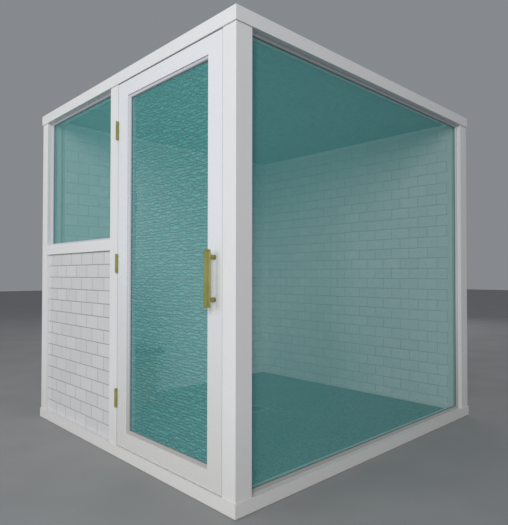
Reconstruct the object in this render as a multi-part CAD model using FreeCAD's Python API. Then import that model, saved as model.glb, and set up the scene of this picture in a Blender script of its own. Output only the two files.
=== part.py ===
import FreeCAD, Part
import os
from FreeCAD import Vector
from math import pi, cos

# Walk-in steam cabin: painted timber frame, tiled walls, glazed door, window and side wall.
# Millimetres. X runs along the door face, Y into the cabin, Z up. The origin is the centre of
# the drain outlet's mouth, in the plane that the foot pads stand on.

# ---- overall -------------------------------------------------------------------------------------
cabin_width = 2160.0
cabin_depth = 2160.0
cabin_height = 2134.0

# ---- frame ---------------------------------------------------------------------------------------
pad_thickness = 3.0
pad_radius = 25.0
pad_inset = 120.0
sill_top = 64.0
header_height = 64.0
frame_lip = 6.0            # sills and headers stand this far proud of the posts
post_size = 89.0
door_opening = 939.0       # clear width between the hinge post and the near corner post
rail_bottom = 1144.0       # underside of the rail below the window
rail_height = 64.0

# ---- walls ---------------------------------------------------------------------------------------
tile_setback = 15.0        # outer tile face behind the post face
tile_thickness = 9.0
sheathing_thickness = 12.0
backer_thickness = 12.3
stud_width = 38.0
stud_count = 4
floor_top = 50.0
floor_thickness = 27.0
joist_width = 45.0
joist_count = 4
ceiling_drop = 49.0        # ceiling's underside below the top of the headers
ceiling_thickness = 18.0
roof_thickness = 16.0
roof_recess = 2.0          # roof cover below the top of the headers

# ---- fixed glazing -------------------------------------------------------------------------------
glass_thickness = 8.0
bead_width = 14.0
bead_depth = 11.0
bead_setback = 26.0        # outer bead face behind the post face
glass_clearance = 3.0      # between a pane's edge and its frame

# ---- trims inside --------------------------------------------------------------------------------
cornice_height = 25.0
cornice_depth = 12.0
skirting_height = 22.0
skirting_depth = 10.0

# ---- door ----------------------------------------------------------------------------------------
door_thickness = 44.0
door_setback = 1.5         # door face behind the post face
hinge_gap = 4.0
lock_gap = 5.0
door_gap_bottom = 3.0
door_gap_top = 4.0
stile_width = 102.0
top_rail_width = 81.0
bottom_rail_width = 84.5
door_bead_setback = 6.0
stop_width = 15.0
seal_thickness = 6.0
seal_width = 9.0
seal_gap = 0.5

# ---- hinges --------------------------------------------------------------------------------------
hinge_from_bottom = 258.0  # lowest hinge's middle above the door's foot
hinge_from_top = 257.0     # highest hinge's middle below the door's top
hinge_middle_rise = 1.0    # middle hinge above the halfway height
hinge_height = 100.0
knuckle_radius = 7.0
knuckle_count = 5
knuckle_gap = 0.4
knuckle_clearance = 0.5    # between the knuckles and the post's face
pin_radius = 3.5
running_clearance = 0.05
leaf_thickness = 1.8
leaf_width = 34.0
finial_radius = 5.5
finial_height = 4.0

# ---- handle --------------------------------------------------------------------------------------
handle_length = 250.0
handle_radius = 15.0
handle_standoff = 40.0     # door face to the bar's axis
handle_centre_z = 990.0
standoff_radius = 10.0
standoff_spread = 92.0     # each standoff above or below the bar's middle
handle_edge = 3.0

# ---- ball catch ----------------------------------------------------------------------------------
catch_z = 1120.0
catch_radius = 8.0
catch_length = 30.0
ball_radius = 5.5
ball_clearance = 0.08
strike_thickness = 1.5
strike_length = 60.0
strike_width = 24.0
strike_hole_radius = 5.4
strike_recess_depth = 2.0
catch_end_wall = 6.0       # closed end of the catch's case
fit_clearance = 0.2        # pieces let into a hole or recess
cut_past = 1.0             # how far a cut runs past a face
pick_margin = 1.0          # reach of the tests that pick edges

# ---- bench ---------------------------------------------------------------------------------------
bench_top = 457.0
seat_thickness = 50.0
seat_overhang = 55.0
seat_corner_radius = 40.0
seat_edge_radius = 18.0
bench_gap = 2.0            # between the bench and the wall lining
left_leg_depth = 292.0
left_leg_length = 564.0
front_leg_length = 626.0
front_leg_depth = 246.0
panel_thickness = 18.0
batten_size = 30.0
access_stile = 35.0
access_bottom = 30.0
access_top = 40.0
access_gap = 2.0
access_thickness = 15.0
access_hinge_radius = 4.0
access_hinge_height = 40.0
access_hinge_offset = 5.0  # hinge axis in front of the panel's face
access_pin_radius = 2.0
access_leaf_thickness = 1.5
access_leaf_width = 20.0
knob_radius = 12.0
knob_length = 22.0
knob_inset = 30.0          # knob in from the access door's edge
access_hinge_inset = 45.0  # hinge's end in from the opening's edge

# ---- steam generator -----------------------------------------------------------------------------
case_length = 330.0        # along Y
case_height = 260.0
case_wall = 1.5
case_wall_gap = 35.0       # between the case and the left wall's lining
case_service_gap = 31.0    # between the case and the back of the bench's panel
case_front_gap = 60.0      # between the case and the front wall's lining
tray_thickness = 5.0
tray_edge = 5.0
tank_radius = 70.0
tank_length = 250.0
tank_wall = 2.0
tank_centre_height = 125.0 # above the floor
heater_radius = 4.0
heater_spread = 22.0
heater_reach = 190.0
heater_flange_radius = 40.0
heater_flange_thickness = 6.0
heater_flange_lap = 10.0   # flange past the edge of its port
port_depth = 6.0           # steam port's cut each way from the tank's top
relief_radius = 10.0
relief_height = 34.0
relief_lever_length = 40.0
relief_from_end = 70.0     # valve in from the case's end
relief_slot_half = 3.3
relief_slot_depth = 12.0
relief_pin_radius = 1.5
relief_pin_drop = 6.0      # pin below the valve's top
relief_pin_inset = 1.0
relief_eye_radius = 4.5
relief_lever_half = 3.0
relief_arm_drop = 4.0      # arm's underside below the valve's top
relief_arm_thickness = 2.5
valve_radius = 9.0
valve_reach = 20.0         # barrel outside the case
valve_from_end = 60.0      # valve in from the tank's end
valve_tank_lap = 8.0       # barrel inside the tank's wall
valve_wall = 2.5
valve_bore_end = 3.0       # bore past the spout's axis
spout_radius = 6.0
spout_length = 30.0
stem_radius = 4.0
stem_length = 8.0
stem_end = 1.0             # stem past the lever
lever_width = 12.0
lever_length = 46.0
lever_thickness = 3.0
lever_hub_edge = 4.0       # hub round the stem
pipe_radius = 8.0
pipe_wall = 1.5
pipe_bend = 25.0
pipe_port_inset = 40.0     # steam port in from the tank's front end
pipe_riser = 40.0          # pipe axis above the tank's top
nozzle_x_from_corner = 170.0
nozzle_radius = 24.0
nozzle_length = 26.0
nozzle_shank_radius = 12.0
nozzle_bore_radius = 6.5
nozzle_tip_edge = 2.0      # narrow end of the head round the shank
nozzle_shank_reach = 12.0  # shank behind the bench's panel

# ---- services through the left wall --------------------------------------------------------------
inlet_radius = 7.5
inlet_bore_radius = 5.0
inlet_reach = 19.0         # spigot outside the outer tile face
inlet_flange_radius = 17.0
inlet_flange_thickness = 4.0
inlet_lap = 1.0            # pipe's end inside the tank's wall
gland_bore_radius = 4.5
gland_bore_length = 18.0
gland_radius = 13.0
gland_shank_radius = 9.0
gland_shank_bore = 6.0
gland_offset = 90.0        # gland from the inlet, along Y
gland_reach = 18.0
gland_shank_reach = 12.0   # shank inside the lining

# ---- drain ---------------------------------------------------------------------------------------
drain_size = 152.0
drain_flange = 3.0
sump_radius = 55.0
sump_wall = 3.0
sump_bottom = 16.0
outlet_bore_radius = 25.2
outlet_wall = 3.8
outlet_length = 20.0
grate_thickness = 3.0
grate_rim = 8.0
grate_slots = 9
grate_slot_width = 6.0
grate_clearance = 1.0

# ---- controls and light --------------------------------------------------------------------------
control_z = 1420.0
control_width = 64.0
control_height = 110.0
control_depth = 14.0
control_corner = 6.0
button_radius = 9.0
button_depth = 8.0
button_proud = 4.0
button_pitch = 40.0
light_x = -150.0
light_y = -150.0
light_radius = 57.0
light_wall = 3.0
light_rim = 8.0
light_drop = 6.0
lens_thickness = 3.0
lens_setback = 1.0
light_can_height = 26.0

# ---- planes and edges worked out from the sizes above --------------------------------------------
half_width = cabin_width / 2
half_depth = cabin_depth / 2
post_out_x = half_width - frame_lip
post_out_y = half_depth - frame_lip
post_in_x = post_out_x - post_size
post_in_y = post_out_y - post_size
header_bottom = cabin_height - header_height
ceiling_bottom = cabin_height - ceiling_drop
rail_top = rail_bottom + rail_height
hinge_post_right = post_in_x - door_opening
hinge_post_left = hinge_post_right - post_size
lining_x = post_in_x - backer_thickness - tile_thickness
lining_y = post_in_y - backer_thickness - tile_thickness
door_face = -post_out_y + door_setback
door_back = door_face + door_thickness
door_left = hinge_post_right + hinge_gap
door_right = post_in_x - lock_gap
door_bottom = sill_top + door_gap_bottom
door_top = header_bottom - door_gap_top
hinge_low = door_bottom + hinge_from_bottom
hinge_high = door_top - hinge_from_top
hinge_heights = (hinge_low, (hinge_low + hinge_high) / 2 + hinge_middle_rise, hinge_high)
case_width = bench_gap + left_leg_depth - panel_thickness - case_service_gap - case_wall_gap
Z_AXIS = Vector(0, 0, 1)


def save(name, *solids):
    """Write one node; several solids stay separate in it."""
    shape = solids[0] if len(solids) == 1 else Part.makeCompound(list(solids))
    shape.exportStep("parts/" + name + ".step")


def box(x0, x1, y0, y1, z0, z1):
    return Part.makeBox(x1 - x0, y1 - y0, z1 - z0, Vector(x0, y0, z0))


def rod(radius, length, base, direction=Z_AXIS):
    return Part.makeCylinder(radius, length, base, direction)


def even_places(low, high, count):
    """Centres of count pieces spread evenly between two edges."""
    step = (high - low) / count
    return [low + step * (i + 0.5) for i in range(count)]


def edges_along(shape, axis, test):
    """Straight edges that run along an axis vector and whose middle passes the test."""
    chosen = []
    for edge in shape.Edges:
        start, end = edge.Vertexes[0].Point, edge.Vertexes[-1].Point
        run = end.sub(start)
        if run.Length > 1e-6 and abs(abs(run.normalize().dot(axis)) - 1) < 1e-6:
            if test(start.add(end).multiply(0.5)):
                chosen.append(edge)
    return chosen


def bead_ring(u0, u1, z0, z1, w0, w1, width, make):
    """Four beads round an opening; make(u0, u1, w0, w1, z0, z1) places a bar in the wall's plane."""
    return [
        make(u0, u1, w0, w1, z0, z0 + width),
        make(u0, u1, w0, w1, z1 - width, z1),
        make(u0, u0 + width, w0, w1, z0 + width, z1 - width),
        make(u1 - width, u1, w0, w1, z0 + width, z1 - width),
    ]


def front_bar(u0, u1, w0, w1, z0, z1):
    """A bar in a wall facing -Y: u is X, w is Y."""
    return box(u0, u1, w0, w1, z0, z1)


def side_bar(u0, u1, w0, w1, z0, z1):
    """A bar in a wall facing +X: u is Y, w is the depth from outside, measured as -X."""
    return box(-w1, -w0, u0, u1, z0, z1)


# ---- frame ---------------------------------------------------------------------------------------
def frame():
    def ring(z0, z1):
        bars = []
        for side in (-1, 1):
            y0, y1 = sorted((side * half_depth, side * post_in_y))
            bars.append(box(-half_width, half_width, y0, y1, z0, z1))
            x0, x1 = sorted((side * half_width, side * post_in_x))
            bars.append(box(x0, x1, -post_in_y, post_in_y, z0, z1))
        return bars

    save("base_sills", *ring(pad_thickness, sill_top))
    save("headers", *ring(header_bottom, cabin_height))

    recess_at = Vector(post_in_x, catch_axis_y(), catch_z)
    strike_recess = rod(strike_hole_radius, strike_recess_depth, recess_at, Vector(1, 0, 0))
    posts = []
    for sx in (-1, 1):
        for sy in (-1, 1):
            x0, x1 = sorted((sx * post_in_x, sx * post_out_x))
            y0, y1 = sorted((sy * post_in_y, sy * post_out_y))
            post = box(x0, x1, y0, y1, sill_top, header_bottom)
            posts.append(post.cut(strike_recess) if (sx, sy) == (1, -1) else post)
    save("corner_posts", *posts)
    hinge_post = box(hinge_post_left, hinge_post_right, -post_out_y, -post_in_y, sill_top, header_bottom)
    save("hinge_post", hinge_post)
    save("window_rail", box(-post_in_x, hinge_post_left, -post_out_y, -post_in_y, rail_bottom, rail_top))

    pad_x = half_width - pad_inset
    pad_y = half_depth - (half_depth - post_in_y) / 2
    pads = []
    for sx in (-1, 1):
        for sy in (-1, 1):
            pads.append(rod(pad_radius, pad_thickness, Vector(sx * pad_x, sy * pad_y, 0)))
    for sx in (-1, 1):
        side_x = half_width - (half_width - post_in_x) / 2
        pads.append(rod(pad_radius, pad_thickness, Vector(sx * side_x, 0, 0)))
        pads.append(rod(pad_radius, pad_thickness, Vector(0, sx * pad_y, 0)))
    save("foot_pads", *pads)


def catch_axis_y():
    return door_face + door_thickness / 2


# ---- walls ---------------------------------------------------------------------------------------
def service_y():
    """The water inlet's place along the left wall: the middle of the boiler tank."""
    return -lining_y + case_front_gap + case_length / 2


def service_holes(clearance):
    """The inlet's and the gland's holes through the left wall."""
    z = floor_top + tank_centre_height
    start = -half_width
    reach = half_width - lining_x + cut_past
    along = Vector(1, 0, 0)
    inlet = rod(inlet_radius + clearance, reach, Vector(start, service_y(), z), along)
    gland = rod(gland_shank_radius + clearance, reach, Vector(start, service_y() - gland_offset, z), along)
    return inlet.fuse(gland)


def walls():
    tile_out = post_out_y - tile_setback
    sheath_out = tile_out - tile_thickness
    stud_out = sheath_out - sheathing_thickness
    holes = service_holes(fit_clearance)

    def left_layer(outer, inner, z0, z1, y_end=post_in_y):
        shift = half_width - half_depth
        return box(-outer - shift, -inner - shift, -y_end, y_end, z0, z1).cut(holes)

    def back_layer(outer, inner, z0, z1):
        return box(-post_in_x, post_in_x, inner, outer, z0, z1)

    def front_layer(outer, inner, z0, z1):
        return box(-post_in_x, hinge_post_left, -outer, -inner, z0, z1)

    def three(outer, inner):
        return (
            left_layer(outer, inner, sill_top, header_bottom),
            back_layer(outer, inner, sill_top, header_bottom),
            front_layer(outer, inner, sill_top, rail_bottom),
        )

    save("outer_tiles", *three(tile_out, sheath_out))
    save("sheathing", *three(sheath_out, stud_out))

    studs = []
    half_stud = stud_width / 2
    shift = half_width - half_depth
    for y in even_places(-post_in_y, post_in_y, stud_count):
        stud = box(-stud_out - shift, -post_in_x, y - half_stud, y + half_stud, sill_top, header_bottom)
        studs.append(stud.cut(holes))
    for x in even_places(-post_in_x, post_in_x, stud_count):
        studs.append(box(x - half_stud, x + half_stud, post_in_y, stud_out, sill_top, header_bottom))
    for x in even_places(-post_in_x, hinge_post_left, stud_count // 2):
        studs.append(box(x - half_stud, x + half_stud, -stud_out, -post_in_y, sill_top, rail_bottom))
    save("wall_studs", *studs)

    # Backer and inner tiles cover the posts' inner faces as well.
    backer_in_x = post_in_x - backer_thickness
    backer_in_y = post_in_y - backer_thickness

    def lining(name, out_x, in_x, out_y, in_y):
        left = box(-out_x, -in_x, -out_y, out_y, floor_top, ceiling_bottom).cut(holes)
        back = box(-in_x, post_in_x, in_y, out_y, floor_top, ceiling_bottom)
        front = box(-in_x, hinge_post_left, -out_y, -in_y, floor_top, rail_top)
        save(name, left, back, front)

    lining("backer_boards", post_in_x, backer_in_x, post_in_y, backer_in_y)
    lining("inner_tiles", backer_in_x, lining_x, backer_in_y, lining_y)


def side_bead_inner():
    """X of the side glazing's innermost face."""
    return post_out_x - bead_setback - 2 * bead_depth - glass_thickness


def trims():
    inner_x = lining_x - cornice_depth
    inner_y = lining_y - cornice_depth
    bench_end = -lining_y + bench_gap + left_leg_length
    cornice_low = ceiling_bottom - cornice_height
    skirting_top = floor_top + skirting_height
    skirting_x = -lining_x + skirting_depth
    skirting_y = lining_y - skirting_depth
    save(
        "interior_trims",
        box(-lining_x, -inner_x, -lining_y, inner_y, cornice_low, ceiling_bottom),
        box(-lining_x, post_in_x, inner_y, lining_y, cornice_low, ceiling_bottom),
        box(-lining_x, skirting_x, bench_end, skirting_y, floor_top, skirting_top),
        box(-lining_x, post_in_x, skirting_y, lining_y, floor_top, skirting_top),
        box(-lining_x, -inner_x, inner_y, lining_y, skirting_top, cornice_low),
        box(post_in_x, side_bead_inner(), lining_y, post_in_y, sill_top, header_bottom),
    )
    # Painted boards that carry the wall line over the hinge post and round the near corner post.
    save(
        "post_linings",
        box(hinge_post_left, hinge_post_right, -post_in_y, -lining_y, floor_top, ceiling_bottom),
        box(post_in_x, side_bead_inner(), -post_in_y, -lining_y, sill_top, header_bottom),
    )


# ---- fixed glazing -------------------------------------------------------------------------------
def glazing():
    def pane_and_beads(u0, u1, z0, z1, face, make):
        outer = bead_ring(u0, u1, z0, z1, face, face + bead_depth, bead_width, make)
        glass_front = face + bead_depth
        glass_back = glass_front + glass_thickness
        inner = bead_ring(u0, u1, z0, z1, glass_back, glass_back + bead_depth, bead_width, make)
        c = glass_clearance
        pane = make(u0 + c, u1 - c, glass_front, glass_back, z0 + c, z1 - c)
        return pane, outer + inner

    face = -post_out_y + bead_setback
    pane, beads = pane_and_beads(-post_in_x, hinge_post_left, rail_top, header_bottom, face, front_bar)
    save("window_glass", pane)
    save("window_beads", *beads)

    face = -post_out_x + bead_setback
    pane, beads = pane_and_beads(-post_in_y, post_in_y, sill_top, header_bottom, face, side_bar)
    save("side_glass", pane)
    save("side_beads", *beads)


# ---- floor, drain, ceiling, light ----------------------------------------------------------------
def floor_and_drain():
    floor_low = floor_top - floor_thickness
    joists = []
    for x in even_places(-post_in_x, post_in_x, joist_count):
        half = joist_width / 2
        joists.append(box(x - half, x + half, -post_in_y, post_in_y, pad_thickness, floor_low))
    save("floor_joists", *joists)

    half = drain_size / 2
    pan = box(-post_in_x, post_in_x, -post_in_y, post_in_y, floor_low, floor_top)
    flange_low = floor_top - drain_flange - grate_thickness
    pan = pan.cut(rod(sump_radius + fit_clearance, floor_thickness, Vector(0, 0, floor_low)))
    recess = half + fit_clearance
    pan = pan.cut(box(-recess, recess, -recess, recess, flange_low, floor_top))
    save("floor_pan", pan)

    flange = box(-half, half, -half, half, flange_low, flange_low + drain_flange)
    rim = box(-half, half, -half, half, flange_low + drain_flange, floor_top)
    inside = half - grate_rim
    rim = rim.cut(box(-inside, inside, -inside, inside, flange_low, floor_top))
    sump = rod(sump_radius, flange_low - sump_bottom, Vector(0, 0, sump_bottom))
    outlet = rod(outlet_bore_radius + outlet_wall, sump_bottom, Vector(0, 0, 0))
    body = flange.fuse([rim, sump, outlet])
    hollow_depth = flange_low + drain_flange - outlet_length
    hollow = rod(sump_radius - sump_wall, hollow_depth, Vector(0, 0, outlet_length))
    bore = rod(outlet_bore_radius, outlet_length, Vector(0, 0, 0))
    save("drain_body", body.cut(hollow).cut(bore))

    grate_half = inside - grate_clearance
    grate_low = flange_low + drain_flange
    grate = box(-grate_half, grate_half, -grate_half, grate_half, grate_low, floor_top)
    slot_reach = sump_radius - sump_wall - grate_rim
    for x in even_places(-slot_reach, slot_reach, grate_slots):
        half_slot = grate_slot_width / 2
        reach = (slot_reach ** 2 - x ** 2) ** 0.5
        grate = grate.cut(box(x - half_slot, x + half_slot, -reach, reach, grate_low, floor_top))
    save("drain_grate", grate)


def ceiling_and_light():
    ceiling_top = ceiling_bottom + ceiling_thickness
    light_axis = Vector(light_x, light_y, ceiling_bottom)
    panel = box(-post_in_x, post_in_x, -post_in_y, post_in_y, ceiling_bottom, ceiling_top)
    save("ceiling_panel", panel.cut(rod(light_radius + fit_clearance, ceiling_thickness, light_axis)))
    roof_top = cabin_height - roof_recess
    roof_low = roof_top - roof_thickness
    save("roof_cover", box(-post_in_x, post_in_x, -post_in_y, post_in_y, roof_low, roof_top))

    low = ceiling_bottom - light_drop
    can = rod(light_radius, light_can_height, light_axis)
    rim = rod(light_radius + light_rim, light_drop, Vector(light_x, light_y, low))
    hollow_radius = light_radius - light_wall
    hollow = rod(hollow_radius, light_drop + light_can_height - light_wall, Vector(light_x, light_y, low))
    save("ceiling_light_housing", can.fuse(rim).cut(hollow))
    lens_at = Vector(light_x, light_y, low + lens_setback)
    save("ceiling_light_lens", rod(hollow_radius - fit_clearance, lens_thickness, lens_at))


# ---- door ----------------------------------------------------------------------------------------
def door():
    catch_at = Vector(door_right - catch_length, catch_axis_y(), catch_z)
    catch_hole = rod(catch_radius + fit_clearance, catch_length, catch_at, Vector(1, 0, 0))
    hinge_stile = box(door_left, door_left + stile_width, door_face, door_back, door_bottom, door_top)
    lock_stile = box(door_right - stile_width, door_right, door_face, door_back, door_bottom, door_top)
    save("door_stiles", hinge_stile, lock_stile.cut(catch_hole))

    u0, u1 = door_left + stile_width, door_right - stile_width
    z0, z1 = door_bottom + bottom_rail_width, door_top - top_rail_width
    save(
        "door_rails",
        box(u0, u1, door_face, door_back, door_bottom, z0),
        box(u0, u1, door_face, door_back, z1, door_top),
    )
    front = door_face + door_bead_setback
    glass_front = front + bead_depth
    glass_back = glass_front + glass_thickness
    c = glass_clearance
    save("door_glass", box(u0 + c, u1 - c, glass_front, glass_back, z0 + c, z1 - c))
    outer = bead_ring(u0, u1, z0, z1, front, glass_front, bead_width, front_bar)
    inner = bead_ring(u0, u1, z0, z1, glass_back, glass_back + bead_depth, bead_width, front_bar)
    save("door_beads", *(outer + inner))

    # Stops and seal stay on the cabin, behind the closed door.
    stop_front = door_back + seal_gap + seal_thickness

    def inside_frame(width, y0, y1):
        return [
            box(hinge_post_right, hinge_post_right + width, y0, y1, sill_top, header_bottom - width),
            box(post_in_x - width, post_in_x, y0, y1, sill_top, header_bottom - width),
            box(hinge_post_right, post_in_x, y0, y1, header_bottom - width, header_bottom),
        ]

    save("door_stops", *inside_frame(stop_width, stop_front, -post_in_y))
    save("door_seal", *inside_frame(seal_width, stop_front - seal_thickness, stop_front))


def hinge_axis():
    """X and Y of the door's swing axis: the middle of the hinge gap, clear in front of the faces."""
    return hinge_post_right + hinge_gap / 2, -post_out_y - knuckle_radius - knuckle_clearance


def butt_leaf(axis_x, axis_y, z0, height, side, knuckles, sizes):
    """One hinge leaf with its knuckles. side is -1 for the leaf on the low side of the axis."""
    radius, bore, thickness, width, face, plate_x = sizes
    low, high = sorted((plate_x, plate_x - side * thickness))
    leaf = box(low, high, face, face + width, z0, z0 + height)
    pitch = height / knuckle_count
    for index in knuckles:
        z = z0 + index * pitch + knuckle_gap / 2
        tall = pitch - knuckle_gap
        leaf = leaf.fuse(rod(radius, tall, Vector(axis_x, axis_y, z)))
        leaf = leaf.fuse(box(low, high, axis_y, face, z, z + tall))
    return leaf.cut(rod(bore, height, Vector(axis_x, axis_y, z0)))


def hinges():
    axis_x, axis_y = hinge_axis()
    bore = pin_radius + running_clearance
    post_leaves, door_leaves, pins = [], [], []
    for centre in hinge_heights:
        z0 = centre - hinge_height / 2
        sizes = (knuckle_radius, bore, leaf_thickness, leaf_width)
        post_sizes = sizes + (-post_out_y, hinge_post_right)
        door_sizes = sizes + (door_face, door_left)
        post_leaves.append(butt_leaf(axis_x, axis_y, z0, hinge_height, -1, (0, 2, 4), post_sizes))
        door_leaves.append(butt_leaf(axis_x, axis_y, z0, hinge_height, 1, (1, 3), door_sizes))
        pin = rod(pin_radius, hinge_height, Vector(axis_x, axis_y, z0))
        pin = pin.fuse(rod(finial_radius, finial_height, Vector(axis_x, axis_y, z0 - finial_height)))
        pins.append(pin.fuse(rod(finial_radius, finial_height, Vector(axis_x, axis_y, z0 + hinge_height))))
    save("hinge_post_leaves", *post_leaves)
    save("hinge_door_leaves", *door_leaves)
    save("hinge_pins", *pins)


def handle():
    x = door_right - stile_width / 2
    y = door_face - handle_standoff
    bar = rod(handle_radius, handle_length, Vector(x, y, handle_centre_z - handle_length / 2))
    bar = bar.makeFillet(handle_edge, [e for e in bar.Edges if len(e.Vertexes) == 1])
    posts = []
    for side in (-1, 1):
        z = handle_centre_z + side * standoff_spread
        bar = bar.cut(rod(standoff_radius, handle_standoff, Vector(x, y, z), Vector(0, 1, 0)))
        post = rod(standoff_radius, handle_standoff, Vector(x, y, z), Vector(0, 1, 0))
        posts.append(post)
    save("handle_bar", bar)
    save("handle_standoffs", *posts)


def ball_catch():
    y = catch_axis_y()
    along = Vector(1, 0, 0)
    case = rod(catch_radius, catch_length, Vector(door_right - catch_length, y, catch_z), along)
    bore_start = door_right - catch_length + catch_end_wall
    bore = rod(ball_radius + ball_clearance, catch_length, Vector(bore_start, y, catch_z), along)
    save("catch_case", case.cut(bore))
    save("catch_ball", Part.makeSphere(ball_radius, Vector(door_right, y, catch_z)))
    plate = box(
        post_in_x - strike_thickness, post_in_x, y - strike_width / 2, y + strike_width / 2,
        catch_z - strike_length / 2, catch_z + strike_length / 2,
    )
    hole = rod(strike_hole_radius, strike_thickness, Vector(post_in_x - strike_thickness, y, catch_z), along)
    save("strike_plate", plate.cut(hole))


# ---- bench ---------------------------------------------------------------------------------------
def bench_edges():
    """Outer faces of the bench's base: the left leg's front and end, the front leg's end and front."""
    wall_x = -lining_x + bench_gap
    wall_y = -lining_y + bench_gap
    left_leg = (wall_x + left_leg_depth, wall_y + left_leg_length)
    front_leg = (wall_x + front_leg_length, wall_y + front_leg_depth)
    return (wall_x, wall_y) + left_leg + front_leg


def access_opening():
    """The opening in the left leg's front: low and high Y, low and high Z."""
    _, _, _, leg_end, _, leg_front = bench_edges()
    y0 = leg_front + access_stile
    y1 = leg_end - panel_thickness - access_stile
    return y0, y1, floor_top + access_bottom, bench_top - seat_thickness - access_top


def seat(x0, x1, y0, y1, round_edges):
    slab = box(x0, x1, y0, y1, bench_top - seat_thickness, bench_top)
    corner = edges_along(slab, Z_AXIS, lambda p: abs(p.x - x1) < pick_margin and abs(p.y - y1) < pick_margin)
    slab = slab.makeFillet(seat_corner_radius, corner)
    rims = [e for e in slab.Edges if round_edges(e)]
    return slab.makeFillet(seat_edge_radius, rims)


def bench():
    wall_x, wall_y, leg_x, leg_end, end_x, leg_front = bench_edges()
    t = panel_thickness
    under = bench_top - seat_thickness

    seat_x = leg_x + seat_overhang
    seat_y = leg_end + seat_overhang
    nose_x = end_x + seat_overhang
    nose_y = leg_front + seat_overhang
    corner = seat_corner_radius + pick_margin

    def left_rims(edge):
        around = edge.BoundBox
        flat = around.ZLength < pick_margin and around.YMax > nose_y + pick_margin
        return flat and (around.XMin > seat_x - corner or around.YMin > seat_y - pick_margin)

    # The left seat is parted where the front seat runs past it, so that only free edges are rounded.
    left = box(wall_x, seat_x, wall_y, nose_y, under, bench_top)
    far = seat(wall_x, seat_x, nose_y, seat_y, left_rims)

    def front_rims(edge):
        around = edge.BoundBox
        flat = around.ZLength < pick_margin
        return flat and (around.YMin > nose_y - corner or around.XMin > nose_x - pick_margin)

    front = seat(seat_x, nose_x, wall_y, nose_y, front_rims)
    save("bench_seats", left.fuse(far).removeSplitter(), front)

    y0, y1, z0, z1 = access_opening()
    boards = [
        box(wall_x, leg_x, leg_end - t, leg_end, floor_top, under),
        box(leg_x - t, leg_x, leg_front, leg_end - t, floor_top, z0),
        box(leg_x - t, leg_x, leg_front, leg_end - t, z1, under),
        box(leg_x - t, leg_x, leg_front, y0, z0, z1),
        box(leg_x - t, leg_x, y1, leg_end - t, z0, z1),
        box(end_x - t, end_x, wall_y, leg_front - t, floor_top, under),
    ]
    riser = box(leg_x - t, end_x, leg_front - t, leg_front, floor_top, under)
    nozzle_x, nozzle_z = nozzle_place()
    hole_at = Vector(nozzle_x, leg_front - t, nozzle_z)
    hole = rod(nozzle_shank_radius + fit_clearance, t, hole_at, Vector(0, 1, 0))
    boards.append(riser.cut(hole))
    low = under - batten_size
    boards.append(box(wall_x, wall_x + batten_size, wall_y, leg_end - t, low, under))
    boards.append(box(wall_x + batten_size, end_x - t, wall_y, wall_y + batten_size, low, under))
    save("bench_frame", *boards)


def access_axis():
    _, _, leg_x, _, _, _ = bench_edges()
    _, y1, _, _ = access_opening()
    return leg_x + access_hinge_offset, y1


def access_door():
    _, _, leg_x, _, _, _ = bench_edges()
    y0, y1, z0, z1 = access_opening()
    g = access_gap
    save("access_door", box(leg_x - access_thickness, leg_x, y0 + g, y1 - g, z0 + g, z1 - g))

    knob_y = y0 + g + knob_inset
    knob_z = (z0 + z1) / 2
    along = Vector(1, 0, 0)
    stem = rod(knob_radius / 2, knob_length, Vector(leg_x, knob_y, knob_z), along)
    head = rod(knob_radius, knob_length / 2, Vector(leg_x + knob_length / 2, knob_y, knob_z), along)
    save("access_knob", stem.fuse(head))

    axis_x, axis_y = access_axis()
    height = access_hinge_height
    width, thickness = access_leaf_width, access_leaf_thickness
    leaf_x = leg_x + thickness
    half, gap = height / 2, knuckle_gap
    fixed, moving = [], []
    for z in (z0 + access_hinge_inset, z1 - access_hinge_inset - height):
        # The fixed half is the lower one and carries the pin; the moving half drops over it.
        middle, top = z + half, z + height
        low = rod(access_hinge_radius, half - gap, Vector(axis_x, axis_y, z))
        leaf = box(leg_x, leaf_x, axis_y, axis_y + width, z, middle - gap)
        reach = box(leg_x, axis_x, axis_y, axis_y + thickness, z, middle - gap)
        pin = rod(access_pin_radius, height, Vector(axis_x, axis_y, z))
        fixed.append(low.fuse([leaf, reach, pin]))
        high = rod(access_hinge_radius, half, Vector(axis_x, axis_y, middle))
        leaf = box(leg_x, leaf_x, axis_y - width, axis_y, middle, top)
        reach = box(leg_x, axis_x, axis_y - thickness, axis_y, middle, top)
        bore = rod(access_pin_radius + running_clearance, half, Vector(axis_x, axis_y, middle))
        moving.append(high.fuse([leaf, reach]).cut(bore))
    save("access_hinges_fixed", *fixed)
    save("access_hinges_moving", *moving)


# ---- steam generator -----------------------------------------------------------------------------
def case_box():
    x0 = -lining_x + case_wall_gap
    y0 = -lining_y + case_front_gap
    z0 = floor_top + tray_thickness
    return x0, x0 + case_width, y0, y0 + case_length, z0, z0 + case_height


def tank_axis():
    x0, x1, y0, y1, _, _ = case_box()
    return (x0 + x1) / 2, (y0 + y1) / 2 - tank_length / 2, floor_top + tank_centre_height


def nozzle_place():
    _, _, leg_x, _, _, _ = bench_edges()
    _, _, tank_z = tank_axis()
    return leg_x + nozzle_x_from_corner, tank_z + tank_radius + pipe_riser


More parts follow.
